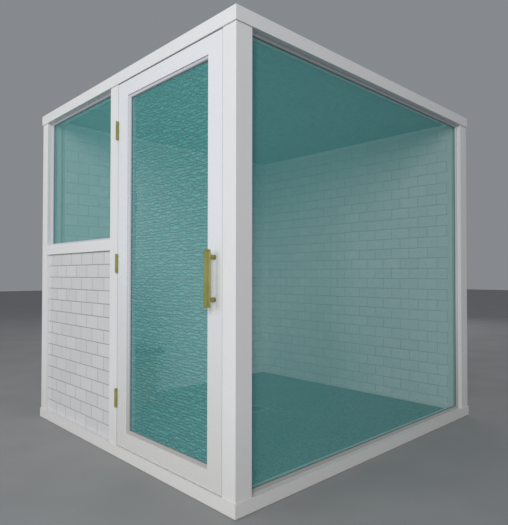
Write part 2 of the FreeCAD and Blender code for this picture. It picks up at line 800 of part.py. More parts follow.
def pipe_solid(radius):
    """The steam pipe's run: up from the tank, along X through the case, then forward to the nozzle."""
    tank_x, tank_y, tank_z = tank_axis()
    port_y = tank_y + pipe_port_inset
    nozzle_x, run_z = nozzle_place()
    _, _, _, _, _, leg_front = bench_edges()
    r = pipe_bend
    short = r * (1 - cos(pi / 4))
    start = Vector(tank_x, port_y, tank_z + tank_radius)
    bend1 = (Vector(tank_x, port_y, run_z - r), Vector(tank_x + short, port_y, run_z - short),
             Vector(tank_x + r, port_y, run_z))
    bend2 = (Vector(nozzle_x - r, port_y, run_z), Vector(nozzle_x - short, port_y + short, run_z),
             Vector(nozzle_x, port_y + r, run_z))
    end = Vector(nozzle_x, leg_front - panel_thickness - nozzle_shank_reach, run_z)
    path = Part.Wire([
        Part.LineSegment(start, bend1[0]).toShape(),
        Part.Arc(*bend1).toShape(),
        Part.LineSegment(bend1[2], bend2[0]).toShape(),
        Part.Arc(*bend2).toShape(),
        Part.LineSegment(bend2[2], end).toShape(),
    ])
    profile = Part.Wire([Part.makeCircle(radius, start, Z_AXIS)])
    return path.makePipeShell([profile], True, False)


def generator():
    x0, x1, y0, y1, z0, z1 = case_box()
    tank_x, tank_y, tank_z = tank_axis()
    along_y = Vector(0, 1, 0)
    along_x = Vector(1, 0, 0)
    c = fit_clearance

    e = tray_edge
    save("generator_tray", box(x0 - e, x1 + e, y0 - e, y1 + e, floor_top, z0))

    w = case_wall
    inlet_at = Vector(x0 - case_wall_gap, service_y(), tank_z)
    inlet_hole = rod(inlet_radius + c, case_wall_gap + 2 * w, inlet_at, along_x)
    pipe_at = Vector(x1 - 2 * w, tank_y + pipe_port_inset, nozzle_place()[1])
    pipe_hole = rod(pipe_radius + c, 4 * w, pipe_at, along_x)
    valve_y = tank_y + tank_length - valve_from_end
    valve_z = tank_z - tank_radius / 2
    valve_hole = rod(valve_radius + c, 4 * w, Vector(x1 - 2 * w, valve_y, valve_z), along_x)
    cover = box(x0, x1, y0, y1, z0, z1).cut(box(x0 + w, x1 - w, y0 + w, y1 - w, z0, z1 - w))
    save("generator_cover", cover.cut(inlet_hole.fuse([pipe_hole, valve_hole])))

    tank = rod(tank_radius, tank_length, Vector(tank_x, tank_y, tank_z), along_y)
    hollow = rod(tank_radius - tank_wall, tank_length - 2 * tank_wall,
                 Vector(tank_x, tank_y + tank_wall, tank_z), along_y)
    flange_y = tank_y + tank_length
    heater_at = Vector(tank_x, flange_y - 2 * tank_wall, tank_z)
    heater_port = rod(heater_flange_radius - heater_flange_lap, 2 * tank_wall, heater_at, along_y)
    steam_at = Vector(tank_x, tank_y + pipe_port_inset, tank_z + tank_radius - port_depth)
    steam_port = rod(pipe_radius - pipe_wall, 2 * port_depth, steam_at)
    tank = tank.cut(hollow).cut(heater_port).cut(steam_port)
    inlet_tip = Vector(tank_x - tank_radius - cut_past, service_y(), tank_z)
    tank = tank.cut(rod(inlet_radius + c, 2 * inlet_radius, inlet_tip, along_x))
    valve_depth = (tank_radius ** 2 - (tank_z - valve_z) ** 2) ** 0.5
    valve_start = tank_x + valve_depth - valve_tank_lap
    valve_port = rod(valve_radius + c, tank_radius, Vector(valve_start, valve_y, valve_z), along_x)
    save("boiler_tank", tank.cut(valve_port))

    flange = rod(heater_flange_radius, heater_flange_thickness, Vector(tank_x, flange_y, tank_z), along_y)
    bend_y = flange_y - heater_reach
    legs = []
    for side in (-1, 1):
        base = Vector(tank_x + side * heater_spread, bend_y, tank_z)
        legs.append(rod(heater_radius, heater_reach, base, along_y))
    turn = Part.makeTorus(heater_spread, heater_radius, Vector(tank_x, bend_y, tank_z), Z_AXIS)
    around = heater_spread + 2 * heater_radius
    keep = box(tank_x - around, tank_x + around, bend_y - around, bend_y, tank_z - around, tank_z + around)
    save("heater_element", flange.fuse(legs + [turn.common(keep)]))

    # Relief valve on the case's top, with its test lever.
    rx, ry = relief_place()
    top = z1 + relief_height
    half, pin_z = relief_slot_half, top - relief_pin_drop
    body = rod(relief_radius, relief_height, Vector(rx, ry, z1))
    slot = box(rx - relief_radius, rx + relief_radius, ry - half, ry + half, top - relief_slot_depth, top)
    pin_base = Vector(rx, ry - relief_radius + relief_pin_inset, pin_z)
    pin = rod(relief_pin_radius, 2 * (relief_radius - relief_pin_inset), pin_base, along_y)
    save("relief_valve", body.cut(slot).fuse(pin))
    half, arm_z = relief_lever_half, top - relief_arm_drop
    eye_low = Vector(rx, ry - half, pin_z)
    eye = rod(relief_eye_radius, 2 * half, eye_low, along_y)
    arm = box(rx, rx + relief_lever_length, ry - half, ry + half, arm_z, arm_z + relief_arm_thickness)
    eye_bore = rod(relief_pin_radius + running_clearance, 2 * half, eye_low, along_y)
    save("relief_lever", eye.fuse(arm).cut(eye_bore))

    # Drain valve through the case's side, with a quarter-turn lever on the stem at its end.
    valve_end = x1 + valve_reach
    barrel = rod(valve_radius, valve_end - valve_start, Vector(valve_start, valve_y, valve_z), along_x)
    spout_x = valve_end - valve_radius
    spout = rod(spout_radius, spout_length, Vector(spout_x, valve_y, valve_z - spout_length))
    stem = rod(stem_radius, stem_length, Vector(valve_end, valve_y, valve_z), along_x)
    bore_radius = spout_radius - valve_wall
    bore_length = spout_x - valve_start + valve_bore_end
    bore = rod(bore_radius, bore_length, Vector(valve_start, valve_y, valve_z), along_x)
    spout_bore = rod(bore_radius, spout_length, Vector(spout_x, valve_y, valve_z - spout_length))
    save("drain_valve", barrel.fuse([spout, stem]).cut(bore).cut(spout_bore))
    lever_x = valve_end + stem_length - lever_thickness - stem_end
    hub = rod(stem_radius + lever_hub_edge, lever_thickness, Vector(lever_x, valve_y, valve_z), along_x)
    arm = box(lever_x, lever_x + lever_thickness, valve_y - lever_length, valve_y, valve_z - lever_width / 2,
              valve_z + lever_width / 2)
    hole_at = Vector(lever_x - cut_past, valve_y, valve_z)
    hole = rod(stem_radius + running_clearance, 2 * lever_thickness, hole_at, along_x)
    save("drain_lever", hub.fuse(arm).cut(hole))

    save("steam_pipe", pipe_solid(pipe_radius).cut(pipe_solid(pipe_radius - pipe_wall)))
    _, _, _, _, _, leg_front = bench_edges()
    nozzle_x, nozzle_z = nozzle_place()
    shank_length = panel_thickness + nozzle_shank_reach
    shank_at = Vector(nozzle_x, leg_front - shank_length, nozzle_z)
    shank = rod(nozzle_shank_radius, shank_length, shank_at, along_y)
    head_at = Vector(nozzle_x, leg_front, nozzle_z)
    tip_radius = nozzle_shank_radius + nozzle_tip_edge
    head = Part.makeCone(nozzle_radius, tip_radius, nozzle_length, head_at, along_y)
    bore = rod(nozzle_bore_radius, shank_length + nozzle_length, shank_at, along_y)
    save("steam_nozzle", shank.fuse(head).cut(bore))


def relief_place():
    x0, x1, y0, y1, _, _ = case_box()
    return (x0 + x1) / 2, y1 - relief_from_end


def services():
    tank_x, _, tank_z = tank_axis()
    along_x = Vector(1, 0, 0)
    tile_face = -post_out_x + tile_setback
    y = service_y()
    start = tile_face - inlet_reach
    length = tank_x - tank_radius + inlet_lap - start
    inlet = rod(inlet_radius, length, Vector(start, y, tank_z), along_x)
    flange_at = Vector(tile_face - inlet_flange_thickness, y, tank_z)
    flange = rod(inlet_flange_radius, inlet_flange_thickness, flange_at, along_x)
    bore = rod(inlet_bore_radius, length, Vector(start, y, tank_z), along_x)
    save("water_inlet", inlet.fuse(flange).cut(bore))

    y = service_y() - gland_offset
    start = tile_face - gland_reach
    nut = rod(gland_radius, gland_reach, Vector(start, y, tank_z), along_x)
    shank_end = -lining_x + gland_shank_reach
    shank = rod(gland_shank_radius, shank_end - tile_face, Vector(tile_face, y, tank_z), along_x)
    entry = rod(gland_bore_radius, gland_bore_length, Vector(start, y, tank_z), along_x)
    inner = rod(gland_shank_bore, shank_end - start - gland_bore_length,
                Vector(start + gland_bore_length, y, tank_z), along_x)
    save("cable_gland", nut.fuse(shank).cut(entry).cut(inner))


# ---- control panel -------------------------------------------------------------------------------
def controls():
    centre_x = (hinge_post_left + hinge_post_right) / 2
    y0 = -lining_y
    y1 = y0 + control_depth
    half_w, half_h = control_width / 2, control_height / 2
    panel = box(centre_x - half_w, centre_x + half_w, y0, y1, control_z - half_h, control_z + half_h)
    corners = edges_along(panel, Vector(0, 1, 0), lambda p: True)
    panel = panel.makeFillet(control_corner, corners)
    for name, side in (("power_button", 1), ("light_button", -1)):
        centre = Vector(centre_x, y1 - button_depth, control_z + side * button_pitch / 2)
        panel = panel.cut(rod(button_radius + fit_clearance, button_depth, centre, Vector(0, 1, 0)))
        floor_gap = Vector(0, button_depth - button_proud, 0)
        save(name, rod(button_radius, button_depth, centre.add(floor_gap), Vector(0, 1, 0)))
    save("control_panel", panel)


os.makedirs("parts", exist_ok=True)
frame()
walls()
trims()
glazing()
floor_and_drain()
ceiling_and_light()
door()
hinges()
handle()
ball_catch()
bench()
access_door()
generator()
services()
controls()
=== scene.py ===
"""Looks of a square walk-in steam cabin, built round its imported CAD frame."""
import logging
import math
from dataclasses import dataclass
from enum import Enum
from typing import Callable, Sequence

import bmesh
import bpy
from mathutils import Euler, Matrix, Vector, noise


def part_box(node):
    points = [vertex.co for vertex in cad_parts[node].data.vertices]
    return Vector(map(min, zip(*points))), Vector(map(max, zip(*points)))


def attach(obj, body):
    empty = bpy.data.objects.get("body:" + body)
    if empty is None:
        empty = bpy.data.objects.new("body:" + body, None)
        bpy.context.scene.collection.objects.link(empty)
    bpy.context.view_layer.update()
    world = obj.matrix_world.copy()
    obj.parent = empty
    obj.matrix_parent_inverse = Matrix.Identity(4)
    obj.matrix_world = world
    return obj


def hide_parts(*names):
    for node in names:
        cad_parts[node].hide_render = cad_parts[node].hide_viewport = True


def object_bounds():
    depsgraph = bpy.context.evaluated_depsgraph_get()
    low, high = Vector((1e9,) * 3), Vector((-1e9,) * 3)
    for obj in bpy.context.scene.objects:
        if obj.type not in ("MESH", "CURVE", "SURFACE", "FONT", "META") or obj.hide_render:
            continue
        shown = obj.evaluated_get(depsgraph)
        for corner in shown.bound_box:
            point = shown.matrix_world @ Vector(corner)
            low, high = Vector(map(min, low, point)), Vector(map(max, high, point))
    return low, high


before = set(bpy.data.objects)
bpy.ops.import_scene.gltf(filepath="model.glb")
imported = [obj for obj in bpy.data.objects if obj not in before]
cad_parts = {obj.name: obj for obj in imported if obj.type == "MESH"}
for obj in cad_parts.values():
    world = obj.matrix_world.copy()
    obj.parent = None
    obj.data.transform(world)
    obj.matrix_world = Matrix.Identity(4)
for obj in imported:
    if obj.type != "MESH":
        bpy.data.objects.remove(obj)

LOG = logging.getLogger("steam_cabin")
CAD_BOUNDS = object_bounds()
SHARP_ANGLE = math.radians(50)
BEVEL_STEPS = 2
MERGE_DISTANCE = 1e-6
Colour = tuple[float, float, float]
Outline = Sequence[tuple[float, float]]
Piece = bpy.types.Object


class Axis(Enum):
    """The row frame's axes, by their index in a vector."""

    X = 0
    Y = 1
    Z = 2

    def vector(self, length: float = 1.0) -> Vector:
        """A vector of that length along the axis."""
        return Vector([length if i == self.value else 0.0 for i in range(3)])


class Body(str, Enum):
    """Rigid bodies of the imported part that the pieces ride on."""

    CABIN = "cabin"
    DOOR = "door"
    GRATE = "drain_grate"
    ACCESS = "access_door"


class Wall(Enum):
    """The cabin's faces that carry tiles or glass, by the turn of a face that looks along -Y."""

    FRONT = 0.0
    RIGHT = 90.0
    BACK = 180.0
    LEFT = 270.0

    def matrix(self, origin: Vector) -> Matrix:
        """Take a panel drawn at the origin, X along it, Z up and -Y outwards, to its wall."""
        return Matrix.Translation(origin) @ Matrix.Rotation(math.radians(self.value), 4, "Z")


# ---------------------------------------------------------------------------------------------
# Finishes
# ---------------------------------------------------------------------------------------------
class Shading:
    """A material's node tree, with short calls for the nodes that the finishes use."""

    def __init__(self, name: str) -> None:
        """Start an empty tree.

        Args:
            name: the material's name.
        """
        self.material = bpy.data.materials.new(name)
        self.material.use_nodes = True
        self.tree = self.material.node_tree
        self.tree.nodes.clear()
        self.output = self.add("ShaderNodeOutputMaterial")

    def add(self, kind: str, **settings: object) -> bpy.types.Node:
        """Add a node and set its properties."""
        node = self.tree.nodes.new(kind)
        for key, value in settings.items():
            setattr(node, key, value)
        return node

    def feed(self, socket: bpy.types.NodeSocket, value: object) -> None:
        """Give an input a plain value, a colour or another node's output."""
        if isinstance(value, bpy.types.NodeSocket):
            self.tree.links.new(value, socket)
        elif isinstance(value, tuple) and socket.type == "RGBA":
            socket.default_value = (*value, 1.0)
        elif value is not None:
            socket.default_value = value

    def settle(self, node: bpy.types.Node, **plain: float) -> None:
        """Set inputs that are the same all over, with _ for each space in their names."""
        for key, value in plain.items():
            node.inputs[key.replace("_", " ")].default_value = value

    def place(self, stretch: Sequence[float] = (1.0, 1.0, 1.0)) -> bpy.types.NodeSocket:
        """Object coordinates, stretched along each axis."""
        where = self.add("ShaderNodeTexCoord")
        mapping = self.add("ShaderNodeMapping")
        mapping.inputs["Scale"].default_value = stretch
        self.feed(mapping.inputs["Vector"], where.outputs["Object"])
        return mapping.outputs["Vector"]

    def coordinate(self, axis: Axis) -> bpy.types.NodeSocket:
        """One of the object coordinates, in metres."""
        split = self.add("ShaderNodeSeparateXYZ")
        self.feed(split.inputs[0], self.place())
        return split.outputs[axis.value]

    def noise(self, scale: float, detail: float = 2.0, rough: float = 0.5, bend: float = 0.0,
              stretch: Sequence[float] = (1.0, 1.0, 1.0)) -> bpy.types.NodeSocket:
        """A noise texture.

        Args:
            scale: features per metre.
            detail: octaves.
            rough: weight of the finer octaves.
            bend: distortion.
            stretch: scale along each axis.

        Returns:
            A value near 0.5.
        """
        node = self.add("ShaderNodeTexNoise")
        self.feed(node.inputs["Vector"], self.place(stretch))
        self.settle(node, Scale=scale, Detail=detail, Roughness=rough, Distortion=bend)
        return node.outputs["Fac"]

    def waves(self, scale: float, bend: float, bend_scale: float,
              stretch: Sequence[float] = (1.0, 1.0, 1.0)) -> bpy.types.NodeSocket:
        """Level bands bent by a noise, as the strokes of a rolled pattern.

        Args:
            scale: bands in about 0.31 m.
            bend: how far the noise bends them.
            bend_scale: the noise's scale beside the bands'.
            stretch: scale along each axis.

        Returns:
            A value from 0 to 1.
        """
        node = self.add("ShaderNodeTexWave", wave_type="BANDS", bands_direction="Z")
        self.feed(node.inputs["Vector"], self.place(stretch))
        self.settle(node, Scale=scale, Distortion=bend, Detail=1.0, Detail_Scale=bend_scale)
        return node.outputs["Fac"]

    def cells(self, scale: float) -> bpy.types.NodeSocket:
        """Distance from the points of a cell pattern."""
        node = self.add("ShaderNodeTexVoronoi")
        self.feed(node.inputs["Vector"], self.place())
        self.settle(node, Scale=scale)
        return node.outputs["Distance"]

    def spread(self, value: bpy.types.NodeSocket, low: float, high: float, to_low: float = 0.0,
               to_high: float = 1.0) -> bpy.types.NodeSocket:
        """Map values from low and high to to_low and to_high, clamped."""
        node = self.add("ShaderNodeMapRange")
        self.feed(node.inputs["Value"], value)
        self.settle(node, From_Min=low, From_Max=high, To_Min=to_low, To_Max=to_high)
        return node.outputs["Result"]

    def math(self, operation: str, first: object, second: object = None) -> bpy.types.NodeSocket:
        """One maths operation on values."""
        node = self.add("ShaderNodeMath", operation=operation)
        self.feed(node.inputs[0], first)
        self.feed(node.inputs[1], second)
        return node.outputs[0]

    def weigh(self, first: object, share: float, second: object) -> bpy.types.NodeSocket:
        """share of the first value and the rest of the second."""
        rest = self.math("MULTIPLY", second, 1.0 - share)
        return self.math("ADD", self.math("MULTIPLY", first, share), rest)

    def blend(self, factor: object, first: object, second: object) -> bpy.types.NodeSocket:
        """Mix two colours: factor 0 gives the first one and 1 the second."""
        node = self.add("ShaderNodeMix", data_type="RGBA")
        self.feed(node.inputs["Factor"], factor)
        colours = [socket for socket in node.inputs if socket.type == "RGBA"]
        self.feed(colours[0], first)
        self.feed(colours[1], second)
        return next(socket for socket in node.outputs if socket.type == "RGBA")

    def relief(self, height: bpy.types.NodeSocket, depth: float,
               strength: float = 0.6) -> bpy.types.NodeSocket:
        """A bump normal from a pattern that spans that depth in metres."""
        node = self.add("ShaderNodeBump")
        self.settle(node, Strength=strength, Distance=depth)
        self.feed(node.inputs["Height"], height)
        return node.outputs["Normal"]

    def surface(self, colour: object, rough: object, normal: object = None, **plain: float) -> bpy.types.Node:
        """End the tree in a Principled shader.

        Args:
            colour: a colour or an output.
            rough: roughness, a number or an output.
            normal: a normal output, if there is relief.
            plain: other inputs that are the same all over, with _ for each space in their names.

        Returns:
            The Principled node.
        """
        node = self.add("ShaderNodeBsdfPrincipled")
        self.feed(node.inputs["Base Color"], colour)
        self.feed(node.inputs["Roughness"], rough)
        self.feed(node.inputs["Normal"], normal)
        self.settle(node, **plain)
        self.feed(self.output.inputs["Surface"], node.outputs[0])
        return node


def shade(colour: Colour, share: float) -> Colour:
    """A colour made darker or lighter by a share."""
    return tuple(min(1.0, part * share) for part in colour)


@dataclass(frozen=True)
class Finish:
    """What a surface is finished with. Subclasses say how it is painted."""

    name: str
    slot: str

    def material(self) -> bpy.types.Material:
        """The finish's material, built the first time it is asked for."""
        found = bpy.data.materials.get(self.name)
        if found is None:
            shading = Shading(self.name)
            self.paint(shading)
            found = shading.material
        return found

    def paint(self, s: Shading) -> None:
        """Build the finish's nodes."""
        raise NotImplementedError


@dataclass(frozen=True)
class Paint(Finish):
    """Satin enamel on timber: brush strokes along the piece, and a tone that blends to low_colour towards the
    floor, which is painted shade on the door and beads and simply darker low down elsewhere.
    """

    colour: Colour = (0.80, 0.80, 0.80)
    low_colour: Colour = (0.72, 0.71, 0.69)
    low_height: float = 0.45
    rough: float = 0.36
    along: Axis = Axis.Z
    gloss: float = 0.0

    def paint(self, s: Shading) -> None:
        """Strokes in the relief, a cloudy tone, and a warmer tone towards the floor."""
        strokes = s.noise(16.0, 3.0, 0.6, stretch=[1.0 if axis is self.along else 24.0 for axis in Axis])
        peel = s.noise(380.0, 2.0)
        cloud = s.noise(1.9, 4.0, 0.55)
        # Blend to low_colour towards the floor: painted shade on the door and beads, elsewhere only darker
        # low down.
        low = s.spread(s.coordinate(Axis.Z), 0.0, self.low_height, 1.0, 0.0)
        tone = s.blend(s.spread(cloud, 0.35, 0.65), self.colour, shade(self.colour, 0.98))
        colour = s.blend(low, tone, self.low_colour)
        rough = s.spread(s.weigh(cloud, 0.5, strokes), 0.35, 0.65, self.rough - 0.03, self.rough + 0.04)
        normal = s.relief(s.weigh(strokes, 0.8, peel), 0.00004, 0.3)
        s.surface(colour, rough, normal, Coat_Weight=self.gloss, Coat_Roughness=0.14)


@dataclass(frozen=True)
class Tile(Finish):
    """Glazed ceramic. Each tile has its own tone, kept in the attribute tile_tone."""

    colour: Colour = (0.67, 0.67, 0.67)
    rough: float = 0.42

    def paint(self, s: Shading) -> None:
        """A tone for each tile, a faint clouding and a slightly wavy glaze."""
        own = s.add("ShaderNodeAttribute", attribute_name="tile_tone").outputs["Fac"]
        cloud = s.noise(26.0, 3.0)
        tone = s.spread(s.weigh(own, 0.8, cloud), 0.1, 0.9)
        colour = s.blend(tone, shade(self.colour, 0.965), shade(self.colour, 1.025))
        rough = s.spread(cloud, 0.3, 0.7, self.rough - 0.04, self.rough + 0.08)
        s.surface(colour, rough, s.relief(s.noise(30.0, 1.0), 0.0004, 0.3))


@dataclass(frozen=True)
class Grout(Finish):
    """Cement joint: grey, rough and grainy."""

    colour: Colour = (0.36, 0.365, 0.37)

    def paint(self, s: Shading) -> None:
        """Grain in the tone and in the relief."""
        grain = s.noise(800.0, 2.0)
        stain = s.noise(8.0, 4.0)
        tone = s.spread(s.weigh(grain, 0.5, stain), 0.3, 0.7)
        colour = s.blend(tone, shade(self.colour, 0.75), self.colour)
        s.surface(colour, 0.85, s.relief(grain, 0.0004))


@dataclass(frozen=True)
class Glass(Finish):
    """Rolled glass: each face carries a thin tinted film, and the rest of the light goes straight through.

    pebble and strokes are scales of the pattern, and strokes of 0 leaves the pebbles alone. wander and
    wander_scale bend the strokes. The field before veil is how far the pattern darkens the film, painted
    shade of the ripples, and veil is how far it darkens the glass.
    """

    tint: Colour = (0.975, 0.985, 0.985)
    film: Colour = (0.225, 0.74, 0.725)
    film_share: float = 0.24
    pebble: float = 60.0
    stretch: float = 0.62
    strokes: float = 20.5
    stroke_share: float = 0.75
    wander: float = 6.0
    wander_scale: float = 2.6
    depth: float = 0.0045
    hollow_shade: float = 0.15
    veil: float = 0.055
    rough: float = 0.22

    def paint(self, s: Shading) -> None:
        """The film is painted darker in the ripples' hollows as their shade, and the glass a little darker
        there.
        """
        stretch = (self.stretch, self.stretch, 1.0)
        ripples = s.noise(self.pebble, 1.0, 0.5, 0.7, stretch=stretch)
        tone = s.spread(ripples, 0.40, 0.60)
        if self.strokes:
            waves = s.waves(self.strokes, self.wander, self.wander_scale, stretch)
            ripples = s.weigh(waves, self.stroke_share, ripples)
            tone = s.spread(ripples, 0.25, 0.75)
        # Painted shade of the ripples: the film is darker in their hollows.
        colour = s.blend(tone, shade(self.film, 1.0 - self.hollow_shade), shade(self.film, 1.0 + self.hollow_shade))
        film = s.surface(colour, self.rough, s.relief(ripples, self.depth, 1.0), Specular_IOR_Level=0.35)
        clear = s.add("ShaderNodeBsdfTransparent")
        s.feed(clear.inputs["Color"], s.blend(tone, shade(self.tint, 1.0 - self.veil), self.tint))
        pane = s.add("ShaderNodeMixShader")
        pane.inputs[0].default_value = self.film_share
        s.feed(pane.inputs[1], clear.outputs[0])
        s.feed(pane.inputs[2], film.outputs[0])
        s.feed(s.output.inputs["Surface"], pane.outputs[0])


@dataclass(frozen=True)
class Timber(Finish):
    """Wood with grain along one axis, and seams where boards are laid side by side."""

    light: Colour = (0.30, 0.16, 0.08)
    dark: Colour = (0.13, 0.06, 0.028)
    along: Axis = Axis.X
    across: Axis = Axis.Y
    board: float = 0.0
    rough: float = 0.40

    def paint(self, s: Shading) -> None:
        """Grain bands, fine pores and the boards' seams."""
        bands = s.noise(3.4, 4.0, 0.6, 1.5, [1.0 if axis is self.along else 12.0 for axis in Axis])
        pores = s.noise(5.0, 2.0, stretch=[5.0 if axis is self.along else 240.0 for axis in Axis])
        tone = s.weigh(s.spread(bands, 0.3, 0.7), 0.75, s.spread(pores, 0.3, 0.7))
        height = s.weigh(pores, 0.6, bands)
        if self.board:
            count = s.math("DIVIDE", s.coordinate(self.across), self.board)
            share = s.math("FRACT", count)
            edge = s.math("MINIMUM", share, s.math("SUBTRACT", 1.0, share))
            lying = s.spread(edge, 0.0, 0.025)
            step = s.math("FRACT", s.math("MULTIPLY", s.math("FLOOR", count), 0.37))
            tone = s.math("MULTIPLY", s.weigh(tone, 0.7, step), lying)
            height = s.weigh(height, 0.3, lying)
        colour = s.blend(tone, self.dark, self.light)
        s.surface(colour, s.spread(bands, 0.3, 0.7, self.rough, self.rough + 0.12), s.relief(height, 0.0008))


@dataclass(frozen=True)
class Metal(Finish):
    """Brushed or polished metal with faint cloudy tarnish."""

    colour: Colour = (0.62, 0.62, 0.62)
    tarnish: Colour = (0.45, 0.45, 0.45)
    rough: float = 0.28
    brush: float = 60.0
    along: Axis = Axis.Z
    metallic: float = 1.0

    def paint(self, s: Shading) -> None:
        """Fine lines along one axis and a darker tone in patches."""
        lines = s.noise(40.0, 2.0, stretch=[1.0 if axis is self.along else self.brush for axis in Axis])
        cloud = s.noise(14.0, 4.0, 0.6)
        colour = s.blend(s.spread(cloud, 0.42, 0.72), self.colour, self.tarnish)
        rough = s.spread(s.weigh(lines, 0.6, cloud), 0.35, 0.65, self.rough - 0.05, self.rough + 0.08)
        s.surface(colour, rough, s.relief(lines, 0.00006, 0.4), Metallic=self.metallic)


@dataclass(frozen=True)
class Resin(Finish):
    """Cast resin or moulded plastic with specks and a grained face."""

    colour: Colour = (0.36, 0.40, 0.40)
    speck: Colour = (0.22, 0.25, 0.25)
    rough: float = 0.45
    speck_scale: float = 160.0
    grain_scale: float = 420.0
    grain: float = 0.0003

    def paint(self, s: Shading) -> None:
        """Specks in the colour and an even grain in the relief."""
        specks = s.spread(s.noise(self.speck_scale, 3.0, 0.7), 0.5, 0.66)
        cloud = s.spread(s.noise(2.3, 4.0), 0.35, 0.65)
        base = s.blend(cloud, self.colour, shade(self.colour, 0.92))
        colour = s.blend(specks, base, self.speck)
        s.surface(colour, s.spread(cloud, 0.0, 1.0, self.rough, self.rough + 0.08),
                  s.relief(s.noise(self.grain_scale, 2.0), self.grain))


@dataclass(frozen=True)
class Lens(Finish):
    """Opal lamp lens with moulded prisms."""

    colour: Colour = (0.86, 0.87, 0.86)

    def paint(self, s: Shading) -> None:
        """Small cells in the relief of a cloudy white plastic."""
        cells = s.cells(260.0)
        colour = s.blend(s.spread(cells, 0.0, 0.6), self.colour, shade(self.colour, 0.93))
        s.surface(colour, 0.22, s.relief(cells, 0.0006, 0.7), Transmission_Weight=0.35)


FRAME_PAINT = Paint("satin_paint_upright", "frame_paint")
FRAME_PAINT_X = Paint("satin_paint_level_x", "frame_paint", along=Axis.X)
FRAME_PAINT_Y = Paint("satin_paint_level_y", "frame_paint", along=Axis.Y)
# The door's tones: a bluish painted sky reflection above and a warm painted shade towards the floor.
DOOR_REFLECTION_SHADE_TONES = ((0.80, 0.815, 0.84), (0.68, 0.665, 0.64))
DOOR_PAINT = Paint("door_enamel_upright", "frame_paint", *DOOR_REFLECTION_SHADE_TONES, 1.1, 0.26, Axis.Z, 0.25)
DOOR_PAINT_X = Paint("door_enamel_level", "frame_paint", *DOOR_REFLECTION_SHADE_TONES, 1.1, 0.26, Axis.X, 0.25)
# Glazing beads in the recess: lavender grey on the white frame paint is painted reflection and painted shade,
# darker still towards the floor.
BEAD_PAINTED_SHADE = Paint("bead_enamel", "frame_paint", (0.62, 0.60, 0.64), (0.42, 0.39, 0.37), 0.8, 0.30)
TILE = Tile("glazed_wall_tile", "wall_tile")
INNER_TILE = Tile("glazed_inner_tile", "wall_tile", (0.84, 0.85, 0.85), 0.5)
GROUT = Grout("cement_joint", "wall_tile")
INNER_GROUT = Grout("pale_cement_joint", "wall_tile", (0.62, 0.625, 0.63))
DOOR_GLASS = Glass("hammered_glass", "patterned_glass")
WINDOW_GLASS = Glass("fine_hammered_glass", "patterned_glass", strokes=27.0, hollow_shade=0.10, veil=0.04)
SIDE_GLASS = Glass("seedy_glass", "clear_glass", film=(0.205, 0.67, 0.655), strokes=0.0, pebble=120.0,
                   stretch=0.8, depth=0.0010, hollow_shade=0.07, veil=0.03)
SHEATHING = Timber("sheathing_plywood", "sheathing_board", (0.52, 0.38, 0.22), (0.36, 0.24, 0.12), Axis.Z,
                   Axis.X)
ROOF_BOARD = Timber("roof_plywood", "sheathing_board", (0.50, 0.40, 0.27), (0.33, 0.25, 0.15), Axis.X, Axis.Y)
STUD = Timber("stud_pine", "stud_timber", (0.58, 0.42, 0.25), (0.40, 0.26, 0.14), Axis.Z, Axis.X)
JOIST = Timber("joist_pine", "stud_timber", (0.55, 0.40, 0.24), (0.38, 0.25, 0.14), Axis.Y, Axis.X)
BACKER = Resin("cement_backer", "backer_board", (0.42, 0.43, 0.43), (0.30, 0.31, 0.31), 0.8)
FLOOR = Resin("floor_resin_stone", "floor_resin", (0.14, 0.21, 0.21), (0.02, 0.04, 0.04), 0.5, 55.0)
# Ceiling in a very dark teal: painted shade of the unlit ceiling.
CEILING_SHADED = Resin("ceiling_gelcoat", "ceiling_resin", (0.07, 0.19, 0.19), (0.03, 0.08, 0.08), 0.5, 32.0)
RUBBER = Resin("black_rubber", "rubber", (0.025, 0.025, 0.027), (0.05, 0.05, 0.052), 0.62, 300.0)
BRASS = Metal("satin_brass", "brass", (0.50, 0.49, 0.17), (0.40, 0.385, 0.10), 0.40, metallic=0.6)
# Darker brass for the handle's posts: painted shade under the bar.
SHADED_BRASS = Metal("aged_brass", "brass", (0.34, 0.31, 0.10), (0.22, 0.20, 0.06), 0.40, metallic=0.6)
VALVE_BRASS = Metal("valve_brass_cast", "valve_brass", (0.62, 0.45, 0.20), (0.42, 0.30, 0.13), 0.34)
STEEL = Metal("brushed_stainless", "stainless_steel", (0.60, 0.61, 0.62), (0.46, 0.47, 0.48), 0.26, 60.0,
              Axis.X)
# Drain grate steel in a dark teal: painted shade of the dim floor seen through the glass.
DRAIN_STEEL_SHADED = Metal("worn_drain_steel", "stainless_steel", (0.20, 0.24, 0.24), (0.10, 0.13, 0.13), 0.42, 20.0,
                    Axis.X)
CHROME = Metal("polished_chrome", "chrome_fitting", (0.80, 0.81, 0.82), (0.68, 0.70, 0.72), 0.08, 4.0)
BENCH = Timber("bench_hardwood", "bench_wood", (0.26, 0.18, 0.08), (0.12, 0.08, 0.035), Axis.X, Axis.Y, 0.085)
BENCH_PANEL = Timber("bench_panel_wood", "bench_wood", (0.60, 0.38, 0.14), (0.36, 0.22, 0.08), Axis.Z, Axis.X)
PLASTIC = Resin("panel_plastic", "white_plastic", (0.74, 0.74, 0.73), (0.70, 0.70, 0.69), 0.34, 500.0)
BUTTON = Resin("button_plastic_grey", "button_plastic", (0.42, 0.45, 0.47), (0.38, 0.41, 0.43), 0.36, 500.0)
SCREEN = Resin("display_window", "white_plastic", (0.012, 0.016, 0.018), (0.02, 0.024, 0.026), 0.10, 500.0,
               grain=0.00001)
LENS = Lens("opal_lens", "lamp_lens")


# ---------------------------------------------------------------------------------------------
# Making meshes
# ---------------------------------------------------------------------------------------------
def box(node: str) -> tuple[Vector, Vector]:
    """Lowest and highest corner of a CAD node at rest."""
    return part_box(node)


